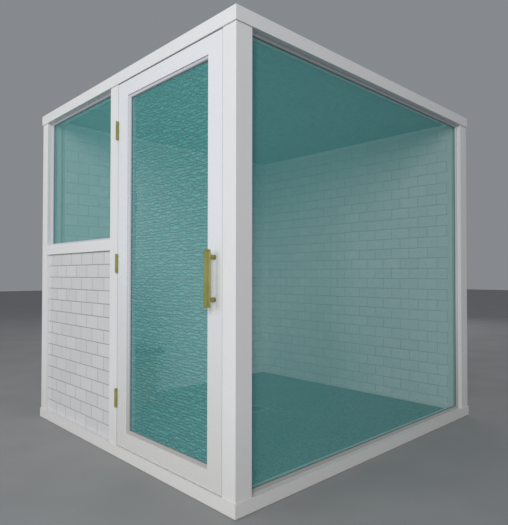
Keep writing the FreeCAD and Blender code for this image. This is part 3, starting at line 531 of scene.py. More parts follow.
def solids_of(node: str) -> list[tuple[Vector, Vector]]:
    """Boxes of a CAD node's separate solids, from the lowest one up.

    Args:
        node: a node whose solids don't touch each other.

    Returns:
        The lowest and highest corner of each.
    """
    mesh = bmesh.new()
    mesh.from_mesh(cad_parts[node].data)
    bmesh.ops.remove_doubles(mesh, verts=mesh.verts, dist=MERGE_DISTANCE)
    left = set(mesh.verts)
    boxes = []
    while left:
        island = {left.pop()}
        edge = set(island)
        while edge:
            edge = {link.other_vert(vert) for vert in edge for link in vert.link_edges} - island
            island |= edge
        left -= island
        points = [vert.co for vert in island]
        boxes.append((Vector(map(min, zip(*points))), Vector(map(max, zip(*points)))))
    mesh.free()
    return sorted(boxes, key=lambda pair: (round(pair[0].z, 4), round(pair[0].x, 4), pair[0].y))


def settle(name: str, mesh: bpy.types.Mesh, body: Body, nodes: Sequence[str] = (),
           sharp: float = SHARP_ANGLE) -> Piece:
    """Turn a mesh into a piece that rides on a body.

    Args:
        name: the piece's name.
        mesh: its mesh, already in place.
        body: the body that it rides on.
        nodes: CAD nodes that it stands for.
        sharp: edges that turn by more than this stay sharp.

    Returns:
        The piece.
    """
    mesh.set_sharp_from_angle(angle=sharp)
    piece = bpy.data.objects.new(name, mesh)
    bpy.context.scene.collection.objects.link(piece)
    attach(piece, body.value)
    if nodes:
        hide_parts(*nodes)
    return piece


def dress(node: str, finish: Finish) -> Piece:
    """Give a CAD node that stays as it is its finish."""
    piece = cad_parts[node]
    piece.data.materials.clear()
    piece.data.materials.append(finish.material())
    return piece


def rounded(low: tuple[float, float], high: tuple[float, float], radius: float,
            steps: int = 6) -> list[tuple[float, float]]:
    """A rectangle's outline with rounded corners, each in that many steps."""
    outline = []
    centres = ((high[0] - radius, high[1] - radius), (low[0] + radius, high[1] - radius),
               (low[0] + radius, low[1] + radius), (high[0] - radius, low[1] + radius))
    for quarter, (a, b) in enumerate(centres):
        for step in range(steps + 1):
            turn = math.pi / 2 * (quarter + step / steps)
            outline.append((a + radius * math.cos(turn), b + radius * math.sin(turn)))
    return outline


class Form:
    """A piece being made: closed shapes are added to it one by one, each with its finish."""

    def __init__(self, name: str, body: Body = Body.CABIN) -> None:
        """Start an empty piece.

        Args:
            name: the piece's name.
            body: the body that it will ride on.
        """
        self.name = name
        self.body = body
        self.mesh = bmesh.new()
        self.finishes: list[Finish] = []

    def take(self, shape: bmesh.types.BMesh, finish: Finish, ease: float = 0.0) -> None:
        """Add a closed shape, with its sharp edges eased.

        Args:
            shape: the shape, which is used up.
            finish: what it is finished with.
            ease: width of the rounding along its edges.
        """
        if ease > 0:
            edges = [edge for edge in shape.edges if edge.calc_face_angle(0.0) > SHARP_ANGLE / 2]
            made = bmesh.ops.bevel(shape, geom=edges, offset=ease, segments=BEVEL_STEPS, profile=0.5,
                                   affect="EDGES", clamp_overlap=True)
            for face in made["faces"]:
                face.smooth = True
        bmesh.ops.recalc_face_normals(shape, faces=shape.faces[:])
        if finish not in self.finishes:
            self.finishes.append(finish)
        for face in shape.faces:
            face.material_index = self.finishes.index(finish)
        scratch = bpy.data.meshes.new("scratch")
        shape.to_mesh(scratch)
        shape.free()
        self.mesh.from_mesh(scratch)
        bpy.data.meshes.remove(scratch)

    def prism(self, outline: Outline, axis: Axis, low: float, high: float, finish: Finish, ease: float = 0.0,
              smooth: bool = False) -> None:
        """Add a straight piece with any outline.

        Args:
            outline: its points in the other two axes, in their order.
            axis: the axis that it runs along.
            low: where it starts on that axis.
            high: where it ends.
            finish: what it is finished with.
            ease: rounding of its edges.
            smooth: whether its sides are round.
        """
        shape = bmesh.new()

        def at(a: float, b: float, h: float) -> tuple[float, float, float]:
            """A point of the outline at a height along the axis."""
            return {Axis.X: (h, a, b), Axis.Y: (a, h, b), Axis.Z: (a, b, h)}[axis]

        rings = [[shape.verts.new(at(a, b, h)) for a, b in outline] for h in (low, high)]
        for ring in rings:
            shape.faces.new(ring)
        for i in range(len(outline)):
            j = (i + 1) % len(outline)
            shape.faces.new((rings[0][i], rings[0][j], rings[1][j], rings[1][i])).smooth = smooth
        self.take(shape, finish, ease)

    def bar(self, low: Vector, high: Vector, finish: Finish, ease: float = 0.0) -> None:
        """Add a rectangular bar between two corners."""
        corners = ((low.x, low.y), (high.x, low.y), (high.x, high.y), (low.x, high.y))
        self.prism(corners, Axis.Z, low.z, high.z, finish, ease)

    def turned(self, profile: Outline, base: Vector, axis: Axis, finish: Finish, steps: int = 32) -> None:
        """Add a turned shape.

        Args:
            profile: pairs of distance along the axis and radius. A radius of 0 is a closed pole.
            base: where distances start.
            axis: the axis of turning.
            finish: what it is finished with.
            steps: points round it.
        """
        shape = bmesh.new()
        across, up = [other for other in Axis if other is not axis]
        rings = []
        for along, radius in profile:
            centre = base + axis.vector(along)
            if radius == 0:
                rings.append([shape.verts.new(centre)])
                continue
            ring = []
            for step in range(steps):
                turn = math.tau * step / steps
                out = across.vector(radius * math.cos(turn)) + up.vector(radius * math.sin(turn))
                ring.append(shape.verts.new(centre + out))
            rings.append(ring)
        closed = len(rings[0]) > 1 and profile[0] == profile[-1]
        for ring, following in zip(rings, rings[1:]):
            for step in range(steps):
                after = (step + 1) % steps
                corners = [ring[step % len(ring)], ring[after % len(ring)],
                           following[after % len(following)], following[step % len(following)]]
                shape.faces.new(list(dict.fromkeys(corners))).smooth = True
        if closed:
            bmesh.ops.remove_doubles(shape, verts=rings[0] + rings[-1], dist=MERGE_DISTANCE / 10)
        else:
            for ring in (rings[0], rings[-1]):
                if len(ring) > 1:
                    shape.faces.new(ring)
        self.take(shape, finish)

    def moulding(self, low: tuple[float, float], high: tuple[float, float], profile: Outline,
                 place: Callable[[float, float, float], Vector], finish: Finish) -> None:
        """Add a mitred moulding round a rectangle.

        Args:
            low: the rectangle's low corner, along and up.
            high: its high corner.
            profile: the section's points, each how far in from the rectangle's edge and how deep.
            place: gives the point for a distance along, up and deep.
            finish: what it is finished with.
        """
        shape = bmesh.new()
        loops = []
        for inward, deep in profile:
            corners = ((low[0] + inward, low[1] + inward), (high[0] - inward, low[1] + inward),
                       (high[0] - inward, high[1] - inward), (low[0] + inward, high[1] - inward))
            loops.append([shape.verts.new(place(u, v, deep)) for u, v in corners])
        for loop, following in zip(loops, loops[1:] + loops[:1]):
            for i in range(4):
                j = (i + 1) % 4
                shape.faces.new((loop[i], loop[j], following[j], following[i])).smooth = True
        self.take(shape, finish)

    def drill(self, base: Vector, axis: Axis, radius: float, length: float, steps: int = 32) -> None:
        """Cut a round hole through what has been added so far.

        Args:
            base: centre of the hole's start.
            axis: the axis that it runs along.
            radius: of the hole.
            length: of the hole.
            steps: points round it.
        """
        tool = Form("tool", self.body)
        tool.turned(((0.0, radius), (length, radius)), base, axis, self.finishes[0], steps=steps)
        hosts = []
        for name, mesh in (("blank", self.mesh), ("drill", tool.mesh)):
            data = bpy.data.meshes.new(name)
            mesh.to_mesh(data)
            mesh.free()
            hosts.append(bpy.data.objects.new(name, data))
            bpy.context.scene.collection.objects.link(hosts[-1])
        cut = hosts[0].modifiers.new("cut", "BOOLEAN")
        cut.operation = "DIFFERENCE"
        cut.object = hosts[1]
        graph = bpy.context.evaluated_depsgraph_get()
        result = bpy.data.meshes.new_from_object(hosts[0].evaluated_get(graph))
        self.mesh = bmesh.new()
        self.mesh.from_mesh(result)
        for host in hosts:
            bpy.data.objects.remove(host)

    def done(self, slot: str, *nodes: str) -> Piece:
        """Finish the piece.

        Args:
            slot: the record's material slot; not used.
            nodes: CAD nodes that it stands for.

        Returns:
            The piece, riding on its body.
        """
        mesh = bpy.data.meshes.new(self.name)
        self.mesh.to_mesh(mesh)
        self.mesh.free()
        for finish in self.finishes:
            mesh.materials.append(finish.material())
        return settle(self.name, mesh, self.body, nodes)


# ---------------------------------------------------------------------------------------------
# Geometry Nodes for what repeats
# ---------------------------------------------------------------------------------------------
class Network:
    """A Geometry Nodes tree with named inputs, run once on an empty mesh."""

    def __init__(self, name: str, inputs: dict[str, str]) -> None:
        """Start a tree.

        Args:
            name: the tree's name.
            inputs: each input's name and socket type.
        """
        self.tree = bpy.data.node_groups.new(name, "GeometryNodeTree")
        for title, kind in inputs.items():
            self.tree.interface.new_socket(name=title, in_out="INPUT", socket_type="NodeSocket" + kind)
        self.tree.interface.new_socket(name="Geometry", in_out="OUTPUT", socket_type="NodeSocketGeometry")
        self.given = self.add("NodeGroupInput")
        self.result = self.add("NodeGroupOutput")

    def add(self, kind: str, puts: dict[str, object] | None = None, **settings: object) -> bpy.types.Node:
        """Add a node.

        Args:
            kind: its type name.
            puts: values or outputs for its inputs, by name.
            settings: its properties, by name.

        Returns:
            The node.
        """
        node = self.tree.nodes.new(kind)
        for key, value in settings.items():
            setattr(node, key, value)
        for key, value in (puts or {}).items():
            self.put(node.inputs[key], value)
        return node

    def put(self, socket: bpy.types.NodeSocket, value: object) -> None:
        """Give an input a value, another node's output or, by name, one of the tree's inputs."""
        if isinstance(value, str) and value in self.given.outputs:
            value = self.given.outputs[value]
        if isinstance(value, bpy.types.NodeSocket):
            self.tree.links.new(value, socket)
        else:
            socket.default_value = value

    def math(self, operation: str, first: object, second: object = 0.0,
             third: object = 0.0) -> bpy.types.NodeSocket:
        """One maths operation on fields."""
        node = self.add("ShaderNodeMath", operation=operation)
        for socket, value in zip(node.inputs, (first, second, third)):
            self.put(socket, value)
        return node.outputs[0]

    def store(self, geometry: object, name: str, value: object, kind: str = "FLOAT") -> bpy.types.NodeSocket:
        """Keep a field on the points under a name."""
        puts = {"Geometry": geometry, "Name": name}
        node = self.add("GeometryNodeStoreNamedAttribute", puts, data_type=kind, domain="POINT")
        self.put(node.inputs["Value"], value)
        return node.outputs["Geometry"]

    def named(self, name: str, kind: str = "FLOAT") -> bpy.types.NodeSocket:
        """Read a field that was kept under a name."""
        node = self.add("GeometryNodeInputNamedAttribute", {"Name": name}, data_type=kind)
        return node.outputs["Attribute"]

    def chance(self, seed: object, low: float, high: float) -> bpy.types.NodeSocket:
        """A random value from low to high for each point."""
        node = self.add("FunctionNodeRandomValue", {"Seed": seed}, data_type="FLOAT")
        for title, value in (("Min", low), ("Max", high)):
            self.put(next(s for s in node.inputs if s.name == title and s.type == "VALUE"), value)
        return next(s for s in node.outputs if s.type == "VALUE")

    def finish(self, geometry: bpy.types.NodeSocket, material: str = "Material") -> None:
        """Realize the instances, set the material and end the tree."""
        real = self.add("GeometryNodeRealizeInstances", {"Geometry": geometry})
        dressed = self.add("GeometryNodeSetMaterial", {"Geometry": real.outputs[0], "Material": material})
        self.put(self.result.inputs[0], dressed.outputs[0])

    def run(self, name: str, **values: object) -> bpy.types.Mesh:
        """Evaluate the tree.

        Args:
            name: name of the mesh that it gives.
            values: the tree's inputs, with _ for each space in their names.

        Returns:
            A plain mesh.
        """
        host = bpy.data.objects.new(name, bpy.data.meshes.new(name))
        bpy.context.scene.collection.objects.link(host)
        modifier = host.modifiers.new("nodes", "NODES")
        modifier.node_group = self.tree
        for item in self.tree.interface.items_tree:
            if item.in_out == "INPUT":
                modifier[item.identifier] = values[item.name.replace(" ", "_")]
        graph = bpy.context.evaluated_depsgraph_get()
        mesh = bpy.data.meshes.new_from_object(host.evaluated_get(graph))
        bpy.data.objects.remove(host)
        mesh.name = name
        return mesh


class TileNetwork(Network):
    """Tiles laid in running bond over a panel and cut at its edges, each a closed pillow of its own tone."""

    INPUTS = {
        "Width": "Float", "Height": "Float", "Tile Length": "Float", "Tile Height": "Float", "Joint": "Float",
        "Start": "Float", "Rise": "Float", "Ease": "Float", "Tilt": "Float", "Seed": "Int",
        "Material": "Material",
    }
    # The template's points, and how far out its shoulder and its face reach.
    RING_POINTS = 6
    OUTER_RING = 0.4
    MIDDLE_RING = 0.2
    # Shares of the rise at the face and at the shoulder, and of the ease between them.
    FACE_RISE = 0.3
    SHOULDER_RISE = 0.7
    SHOULDER_EASE = 0.35
    # How far the tiles reach into their bed.
    SINK = 0.0008
    MERGE = 0.00001

    def __init__(self) -> None:
        """Build the tree."""
        super().__init__("tile_panel", self.INPUTS)
        tiles = self.laid()
        real = self.add("GeometryNodeRealizeInstances", {"Geometry": tiles}).outputs[0]
        self.finish(self.shaped(real))

    def laid(self) -> bpy.types.NodeSocket:
        """A point for each tile that shows, with its place and half sizes, and the template on it."""
        pitch_u = self.math("ADD", "Tile Length", "Joint")
        pitch_v = self.math("ADD", "Tile Height", "Joint")
        columns = self.math("CEIL", self.math("ADD", self.math("DIVIDE", "Width", pitch_u), 3.0))
        rows = self.math("CEIL", self.math("DIVIDE", "Height", pitch_v))
        index = self.add("GeometryNodeInputIndex").outputs[0]
        row = self.math("FLOOR", self.math("DIVIDE", self.math("ADD", index, 0.5), columns))
        column = self.math("SUBTRACT", index, self.math("MULTIPLY", row, columns))
        half_step = self.math("MULTIPLY", self.math("MODULO", row, 2.0), self.math("MULTIPLY", pitch_u, 0.5))
        start = self.math("ADD", half_step, self.math("MULTIPLY_ADD", pitch_u, -2.0, "Start"))
        left = self.math("MULTIPLY_ADD", column, pitch_u, start)
        bottom = self.math("MULTIPLY", row, pitch_v)
        sizes = {}
        extents = (("u", left, "Tile Length", "Width"), ("v", bottom, "Tile Height", "Height"))
        for way, low, length, limit in extents:
            high = self.math("MINIMUM", self.math("ADD", low, length), limit)
            low = self.math("MAXIMUM", low, 0.0)
            sizes["half_" + way] = self.math("MULTIPLY", self.math("SUBTRACT", high, low), 0.5)
            sizes["middle_" + way] = self.math("MULTIPLY", self.math("ADD", high, low), 0.5)
        points = self.add("GeometryNodePoints", {"Count": self.math("MULTIPLY", rows, columns)}).outputs[0]
        for name, value in sizes.items():
            points = self.store(points, name, value)
        ranges = {"tile_tone": (0.0, 1.0), "lean_u": (-1.0, 1.0), "lean_v": (-1.0, 1.0)}
        for shift, (name, (low, high)) in enumerate(ranges.items()):
            seed = self.math("ADD", "Seed", float(shift))
            points = self.store(points, name, self.chance(seed, low, high))
        narrow = self.add("FunctionNodeCompare", data_type="FLOAT", operation="LESS_THAN")
        self.put(narrow.inputs[0], self.math("MINIMUM", self.named("half_u"), self.named("half_v")))
        self.put(narrow.inputs[1], self.math("MULTIPLY", "Ease", 2.0))
        dropped = {"Geometry": points, "Selection": narrow.outputs[0]}
        kept = self.add("GeometryNodeDeleteGeometry", dropped, domain="POINT")
        placed = {"Points": kept.outputs[0], "Instance": self.template()}
        return self.add("GeometryNodeInstanceOnPoints", placed).outputs[0]

    def template(self) -> bpy.types.NodeSocket:
        """A square of rings for the face, closed by a flat one behind it."""
        sheets = []
        for back in (0.0, 1.0):
            counts = {"Vertices X": self.RING_POINTS, "Vertices Y": self.RING_POINTS}
            grid = self.add("GeometryNodeMeshGrid", counts).outputs[0]
            spot = self.add("GeometryNodeInputPosition").outputs[0]
            where = self.add("ShaderNodeSeparateXYZ", {"Vector": spot})
            sheet = self.store(self.store(grid, "across", where.outputs[0]), "up", where.outputs[1])
            sheet = self.store(sheet, "back", back)
            if back:
                sheet = self.add("GeometryNodeFlipFaces", {"Mesh": sheet}).outputs[0]
            sheets.append(sheet)
        joined = self.add("GeometryNodeJoinGeometry")
        for sheet in sheets:
            self.tree.links.new(sheet, joined.inputs[0])
        return joined.outputs[0]

    def shaped(self, real: bpy.types.NodeSocket) -> bpy.types.NodeSocket:
        """Move the template's points out to the tile's own edges and up to its face."""
        across, up = self.named("across"), self.named("up")
        wide = {}
        for way, sign in (("u", across), ("v", up)):
            reach = self.math("ABSOLUTE", sign)
            inner = self.math("LESS_THAN", reach, self.MIDDLE_RING)
            middle = self.math("LESS_THAN", reach, self.OUTER_RING)
            eased = self.math("ADD", inner, self.math("MULTIPLY", middle, self.SHOULDER_EASE))
            inset = self.math("MULTIPLY", "Ease", eased)
            half = self.math("SUBTRACT", self.named("half_" + way), inset)
            wide[way] = self.math("MULTIPLY", self.math("SIGN", sign), half)
        outer = self.math("MAXIMUM", self.math("ABSOLUTE", across), self.math("ABSOLUTE", up))
        face = self.math("LESS_THAN", outer, self.MIDDLE_RING)
        shoulder = self.math("LESS_THAN", outer, self.OUTER_RING)
        share = self.math("ADD", self.math("MULTIPLY", face, self.FACE_RISE),
                          self.math("MULTIPLY", shoulder, self.SHOULDER_RISE))
        lean = self.math("ADD", self.math("MULTIPLY", self.named("lean_u"), wide["u"]),
                         self.math("MULTIPLY", self.named("lean_v"), wide["v"]))
        height = self.math("MULTIPLY", self.math("MULTIPLY_ADD", lean, "Tilt", "Rise"), share)
        front = self.math("SUBTRACT", 1.0, self.named("back"))
        raised = self.math("ADD", height, self.math("MULTIPLY", share, self.SINK))
        depth = self.math("SUBTRACT", self.SINK, self.math("MULTIPLY", raised, front))
        along = self.math("ADD", self.named("middle_u"), wide["u"])
        above = self.math("ADD", self.named("middle_v"), wide["v"])
        spot = self.add("ShaderNodeCombineXYZ", {"X": along, "Y": depth, "Z": above}).outputs[0]
        moved = self.add("GeometryNodeSetPosition", {"Geometry": real, "Position": spot}).outputs[0]
        return self.add("GeometryNodeMergeByDistance", {"Geometry": moved, "Distance": self.MERGE}).outputs[0]


class ScrewNetwork(Network):
    """Slotted screw heads set evenly along a line."""

    INPUTS = {
        "From": "Vector", "To": "Vector", "Count": "Int", "Turn": "Rotation", "Radius": "Float",
        "Rise": "Float", "Material": "Material",
    }
    SIDES = 14
    # The head's top and its slot's length and width, beside the head's radius.
    TOP = 0.72
    SLOT_LENGTH = 1.5
    SLOT_WIDTH = 0.24
    SEED = 0

    def __init__(self) -> None:
        """Build the tree."""
        super().__init__("screw_row", self.INPUTS)
        line = self.add("GeometryNodeMeshLine", {"Count": "Count"}, mode="END_POINTS")
        self.put(line.inputs["Start Location"], "From")
        self.put(line.inputs["Offset"], "To")
        head = self.add("GeometryNodeMeshCone", {
            "Vertices": self.SIDES, "Radius Top": self.math("MULTIPLY", "Radius", self.TOP),
            "Radius Bottom": "Radius", "Depth": "Rise"})
        long, wide = (self.math("MULTIPLY", "Radius", share) for share in (self.SLOT_LENGTH, self.SLOT_WIDTH))
        size = self.add("ShaderNodeCombineXYZ", {"X": long, "Y": wide, "Z": "Rise"}).outputs[0]
        slot = self.add("GeometryNodeMeshCube", {"Size": size}).outputs[0]
        lifted = self.add("ShaderNodeCombineXYZ", {"Z": "Rise"}).outputs[0]
        cutter = self.add("GeometryNodeTransform", {"Geometry": slot, "Translation": lifted}).outputs[0]
        both = {"Mesh 1": head.outputs["Mesh"], "Mesh 2": cutter}
        cut = self.add("GeometryNodeMeshBoolean", both, operation="DIFFERENCE").outputs[0]
        spin = self.add("ShaderNodeCombineXYZ", {"Z": self.chance(self.SEED, 0.0, math.pi)}).outputs[0]
        turned = {"Rotation": "Turn", "Rotate By": spin}
        turn = self.add("FunctionNodeRotateRotation", turned, rotation_space="LOCAL").outputs[0]
        placed = {"Points": line.outputs[0], "Instance": cut, "Rotation": turn}
        heads = self.add("GeometryNodeInstanceOnPoints", placed)
        self.finish(heads.outputs[0])


class Screws:
    """Rows of screw heads, collected for one body and finish."""

    NETWORK = ScrewNetwork()

    def __init__(self, name: str, body: Body, finish: Finish, radius: float, rise: float) -> None:
        """Start with no rows.

        Args:
            name: the piece's name.
            body: the body that the screws ride on.
            finish: their finish.
            radius: of a head.
            rise: height of a head.
        """
        self.name = name
        self.body = body
        self.finish = finish
        self.radius = radius
        self.rise = rise
        self.mesh = bmesh.new()

    def row(self, start: Vector, end: Vector, count: int, facing: Vector) -> None:
        """Add a row of count heads from start to end, with their tops towards facing."""
        turn = Vector((0, 0, 1)).rotation_difference(facing).to_euler()
        mesh = self.NETWORK.run("row", From=tuple(start), To=tuple(end), Count=count, Turn=tuple(turn),
                                Radius=self.radius, Rise=self.rise, Material=self.finish.material())
        self.mesh.from_mesh(mesh)
        bpy.data.meshes.remove(mesh)

    def done(self) -> Piece:
        """Finish the piece."""
        mesh = bpy.data.meshes.new(self.name)
        self.mesh.to_mesh(mesh)
        self.mesh.free()
        mesh.materials.append(self.finish.material())
        return settle(self.name, mesh, self.body)


# ---------------------------------------------------------------------------------------------
# Sub-assemblies
# ---------------------------------------------------------------------------------------------
@dataclass(frozen=True)
class Plan:
    """Faces that several sub-assemblies share, read from the frame."""

    inner: Vector = box("floor_pan")[1]
    outer: Vector = box("corner_posts")[1]
    tile: float = box("sheathing")[0].x - box("outer_tiles")[0].x
    lining_y: float = box("post_linings")[1].y
    ceiling: float = box("ceiling_panel")[0].z
    floor: float = box("floor_pan")[1].z

    @property
    def lining_x(self) -> float:
        """X of the left wall's inner tile face."""
        return box("inner_tiles")[0].x + self.tile


PLAN = Plan()


class Assembly:
    """One sub-assembly of the cabin."""

    def build(self) -> list[Piece]:
        """Make its pieces and dress its CAD nodes."""
        raise NotImplementedError


def front_place(face: float) -> Callable[[float, float, float], Vector]:
    """Points of a wall that looks along -Y, whose outer face is at that Y."""
    return lambda along, up, deep: Vector((along, face + deep, up))


def side_place(face: float) -> Callable[[float, float, float], Vector]:
    """Points of a wall that looks along +X, whose outer face is at that X."""
    return lambda along, up, deep: Vector((face - deep, along, up))


@dataclass
class CabinFrame(Assembly):
    """Painted posts between mitred sills and headers."""

    ease: float = 0.0012
    strike_hole: float = 0.0054
    strike_depth: float = 0.002

    def ring(self, name: str, node: str) -> Piece:
        """Four mitred bars round the cabin."""
        form = Form(name)
        low, high = box(node)
        x, y = PLAN.inner.x, PLAN.inner.y
        sides = (
            (((low.x, low.y), (high.x, low.y), (x, -y), (-x, -y)), FRAME_PAINT_X),
            (((-x, y), (x, y), (high.x, high.y), (low.x, high.y)), FRAME_PAINT_X),
            (((low.x, low.y), (-x, -y), (-x, y), (low.x, high.y)), FRAME_PAINT_Y),
            (((x, -y), (high.x, low.y), (high.x, high.y), (x, y)), FRAME_PAINT_Y),
        )
        for outline, finish in sides:
            form.prism(outline, Axis.Z, low.z, high.z, finish, self.ease)
        return form.done("frame_paint", node)

    def posts(self) -> Piece:
        """The corner posts. The near one is recessed for the door's catch."""
        form = Form("corner_timbers")
        low, high = box("corner_posts")
        for x0, x1 in ((low.x, -PLAN.inner.x), (PLAN.inner.x, high.x)):
            for y0, y1 in ((low.y, -PLAN.inner.y), (PLAN.inner.y, high.y)):
                form.bar(Vector((x0, y0, low.z)), Vector((x1, y1, high.z)), FRAME_PAINT, self.ease)
        ball_low, ball_high = box("catch_ball")
        centre = (ball_low + ball_high) / 2
        form.drill(Vector((PLAN.inner.x, centre.y, centre.z)), Axis.X, self.strike_hole, self.strike_depth)
        return form.done("frame_paint", "corner_posts")

    def build(self) -> list[Piece]:
        """Sills, headers, posts, hinge post, rail and the pads under them."""
        hinge_post = Form("hinge_post_timber")
        hinge_post.bar(*box("hinge_post"), FRAME_PAINT, self.ease)
        rail = Form("window_rail_timber")
        low, high = box("window_rail")
        section = ((low.y, low.z), (high.y, low.z), (high.y, high.z), (low.y, high.z))
        rail.prism(section, Axis.X, low.x, high.x, FRAME_PAINT_X, self.ease)
        return [
            self.ring("sill_timbers", "base_sills"),
            self.ring("header_timbers", "headers"),
            self.posts(),
            hinge_post.done("frame_paint", "hinge_post"),
            rail.done("frame_paint", "window_rail"),
            dress("foot_pads", RUBBER),
        ]


@dataclass
class TileWork(Assembly):
    """Glazed tiles in running bond on their beds, outside and inside, and the wall's layers between them."""

    length: float = 0.1504
    height: float = 0.0732
    joint: float = 0.004
    rise: float = 0.0006
    ease: float = 0.0007
    lean: float = 0.0006
    sharp: float = math.radians(6)
    # For each panel, the shift of its first row and the seed of its tones and lean.
    LAYING = {
        "outer_tiles_front": (0.1444, 3), "outer_tiles_left": (0.05, 11), "outer_tiles_back": (0.05, 19),
        "inner_tiles_left": (0.02, 29), "inner_tiles_back": (0.09, 37), "inner_tiles_front": (0.03, 43),
    }
    # The tile network's own attributes, which the finished mesh doesn't need.
    SCRATCH = ("half", "middle", "lean", "across", "up", "back")

    def __post_init__(self) -> None:
        """Build the tile network."""
        self.network = TileNetwork()

    def panel(self, name: str, wall: Wall, origin: Vector, width: float, height: float,
              finish: Finish) -> Piece:
        """Tiles over one wall.

        Args:
            name: the piece's name.
            wall: which way the panel looks.
            origin: its low corner, at the end where it starts.
            width: along the wall.
            height: of the tiled part.
            finish: the tiles' finish.

        Returns:
            The piece.
        """
        start, seed = self.LAYING[name]
        mesh = self.network.run(
            name, Width=width, Height=height, Tile_Length=self.length, Tile_Height=self.height,
            Joint=self.joint, Start=start, Rise=self.rise, Ease=self.ease, Tilt=self.lean, Seed=seed,
            Material=finish.material(),
        )
        for attribute in [a.name for a in mesh.attributes if a.name.split("_")[0] in self.SCRATCH]:
            mesh.attributes.remove(mesh.attributes[attribute])
        mesh.transform(wall.matrix(origin))
        return settle(name, mesh, Body.CABIN, sharp=self.sharp)

    def outside(self) -> list[Piece]:
        """The outer beds and tiles."""
        low, high = box("outer_tiles")
        x, y, tile, rise = PLAN.inner.x, PLAN.inner.y, PLAN.tile, self.rise
        front_right, front_top = box("hinge_post")[0].x, box("window_rail")[0].z
        bed = Form("outer_tile_bed")
        bed.bar(Vector((low.x + rise, -y, low.z)), Vector((low.x + tile, y, high.z)), GROUT)
        bed.bar(Vector((-x, high.y - tile, low.z)), Vector((x, high.y - rise, high.z)), GROUT)
        bed.bar(Vector((-x, low.y + rise, low.z)), Vector((front_right, low.y + tile, front_top)), GROUT)
        tall = high.z - low.z
        front, left, back = (Vector((-x, low.y + rise, low.z)), Vector((low.x + rise, y, low.z)),
                             Vector((x, high.y - rise, low.z)))
        return [
            bed.done("wall_tile", "outer_tiles"),
            self.panel("outer_tiles_front", Wall.FRONT, front, front_right + x, front_top - low.z, TILE),
            self.panel("outer_tiles_left", Wall.LEFT, left, 2 * y, tall, TILE),
            self.panel("outer_tiles_back", Wall.BACK, back, 2 * x, tall, TILE),
        ]

    def inside(self) -> list[Piece]:
        """The inner beds and tiles."""
        low, high = box("inner_tiles")
        tile, rise = PLAN.tile, self.rise
        y_in, x_in = -PLAN.lining_y, PLAN.lining_x
        front_right, front_top = box("hinge_post")[0].x, box("window_rail")[1].z
        bed = Form("inner_tile_bed")
        bed.bar(Vector((low.x, low.y, low.z)), Vector((x_in - rise, high.y, high.z)), INNER_GROUT)
        bed.bar(Vector((x_in, y_in + rise, low.z)), Vector((high.x, y_in + tile, high.z)), INNER_GROUT)
        bed.bar(Vector((x_in, -y_in - tile, low.z)), Vector((front_right, -y_in - rise, front_top)),
                INNER_GROUT)
        tall = high.z - low.z
        left, back, front = (Vector((x_in - rise, -y_in, low.z)), Vector((x_in, y_in + rise, low.z)),
                             Vector((front_right, -y_in - rise, low.z)))
        return [
            bed.done("wall_tile", "inner_tiles"),
            self.panel("inner_tiles_left", Wall.RIGHT, left, 2 * y_in, tall, INNER_TILE),
            self.panel("inner_tiles_back", Wall.FRONT, back, high.x - x_in, tall, INNER_TILE),
            self.panel("inner_tiles_front", Wall.BACK, front, front_right - x_in, front_top - low.z,
                       INNER_TILE),
        ]

    def build(self) -> list[Piece]:
        """Tiles on both faces of the walls, and the layers between."""
        layers = [dress("sheathing", SHEATHING), dress("wall_studs", STUD), dress("backer_boards", BACKER)]
        return self.outside() + self.inside() + layers


@dataclass
class Pane:
    """A sheet of rolled glass: flat behind, pebbled in front, and flat along its edges under the beads."""

    node: str
    wall: Wall
    finish: Finish
    body: Body = Body.CABIN
    pitch: tuple[float, float] = (0.0065, 0.0040)
    pebble: tuple[float, float] = (0.026, 0.0125)
    depth: float = 0.0015
    border: float = 0.014
    drift: float = 0.8
    drift_scale: float = 0.37
    swell: float = 0.62

    def crown(self, u: float, v: float) -> float:
        """Height of the pebbles at a point, from 0 in a hollow to 1 on a crown."""
        at = Vector((u / self.pebble[0], v / self.pebble[1], 0.0))
        at += noise.noise_vector(at * self.drift_scale) * self.drift
        return min(1.0, max(0.0, 0.5 + self.swell * noise.noise(at)))

    def build(self) -> Piece:
        """Make the pane from its CAD node's box."""
        low, high = box(self.node)
        front = self.wall is Wall.FRONT
        along = Axis.X if front else Axis.Y
        place = front_place(low.y) if front else side_place(high.x)
        thick = high.y - low.y if front else high.x - low.x
        u0, u1 = low[along.value], high[along.value]
        sizes = (u1 - u0, high.z - low.z)
        columns, rows = (max(2, round(size / step)) for size, step in zip(sizes, self.pitch))
        shape = bmesh.new()
        grid = []
        for row in range(rows + 1):
            v = low.z + (high.z - low.z) * row / rows
            line = []
            for column in range(columns + 1):
                u = u0 + (u1 - u0) * column / columns
                rim = min(u - u0, u1 - u, v - low.z, high.z - v)
                rolled = min(1.0, max(0.0, rim / self.border - 0.5))
                line.append(shape.verts.new(place(u, v, self.depth * (1.0 - self.crown(u, v)) * rolled)))
            grid.append(line)
        for lower, upper in zip(grid, grid[1:]):
            for i in range(columns):
                shape.faces.new((lower[i], lower[i + 1], upper[i + 1], upper[i])).smooth = True
        corners = ((u0, low.z), (u1, low.z), (u1, high.z), (u0, high.z))
        back = [shape.verts.new(place(u, v, thick)) for u, v in corners]
        shape.faces.new(back)
        rims = (grid[0], [line[-1] for line in grid], grid[-1][::-1], [line[0] for line in reversed(grid)])
        for i, rim in enumerate(rims):
            shape.faces.new([*rim, back[(i + 1) % 4], back[i]])
        form = Form(self.node + "_pane", self.body)
        form.take(shape, self.finish)
        return form.done(self.finish.slot, self.node)


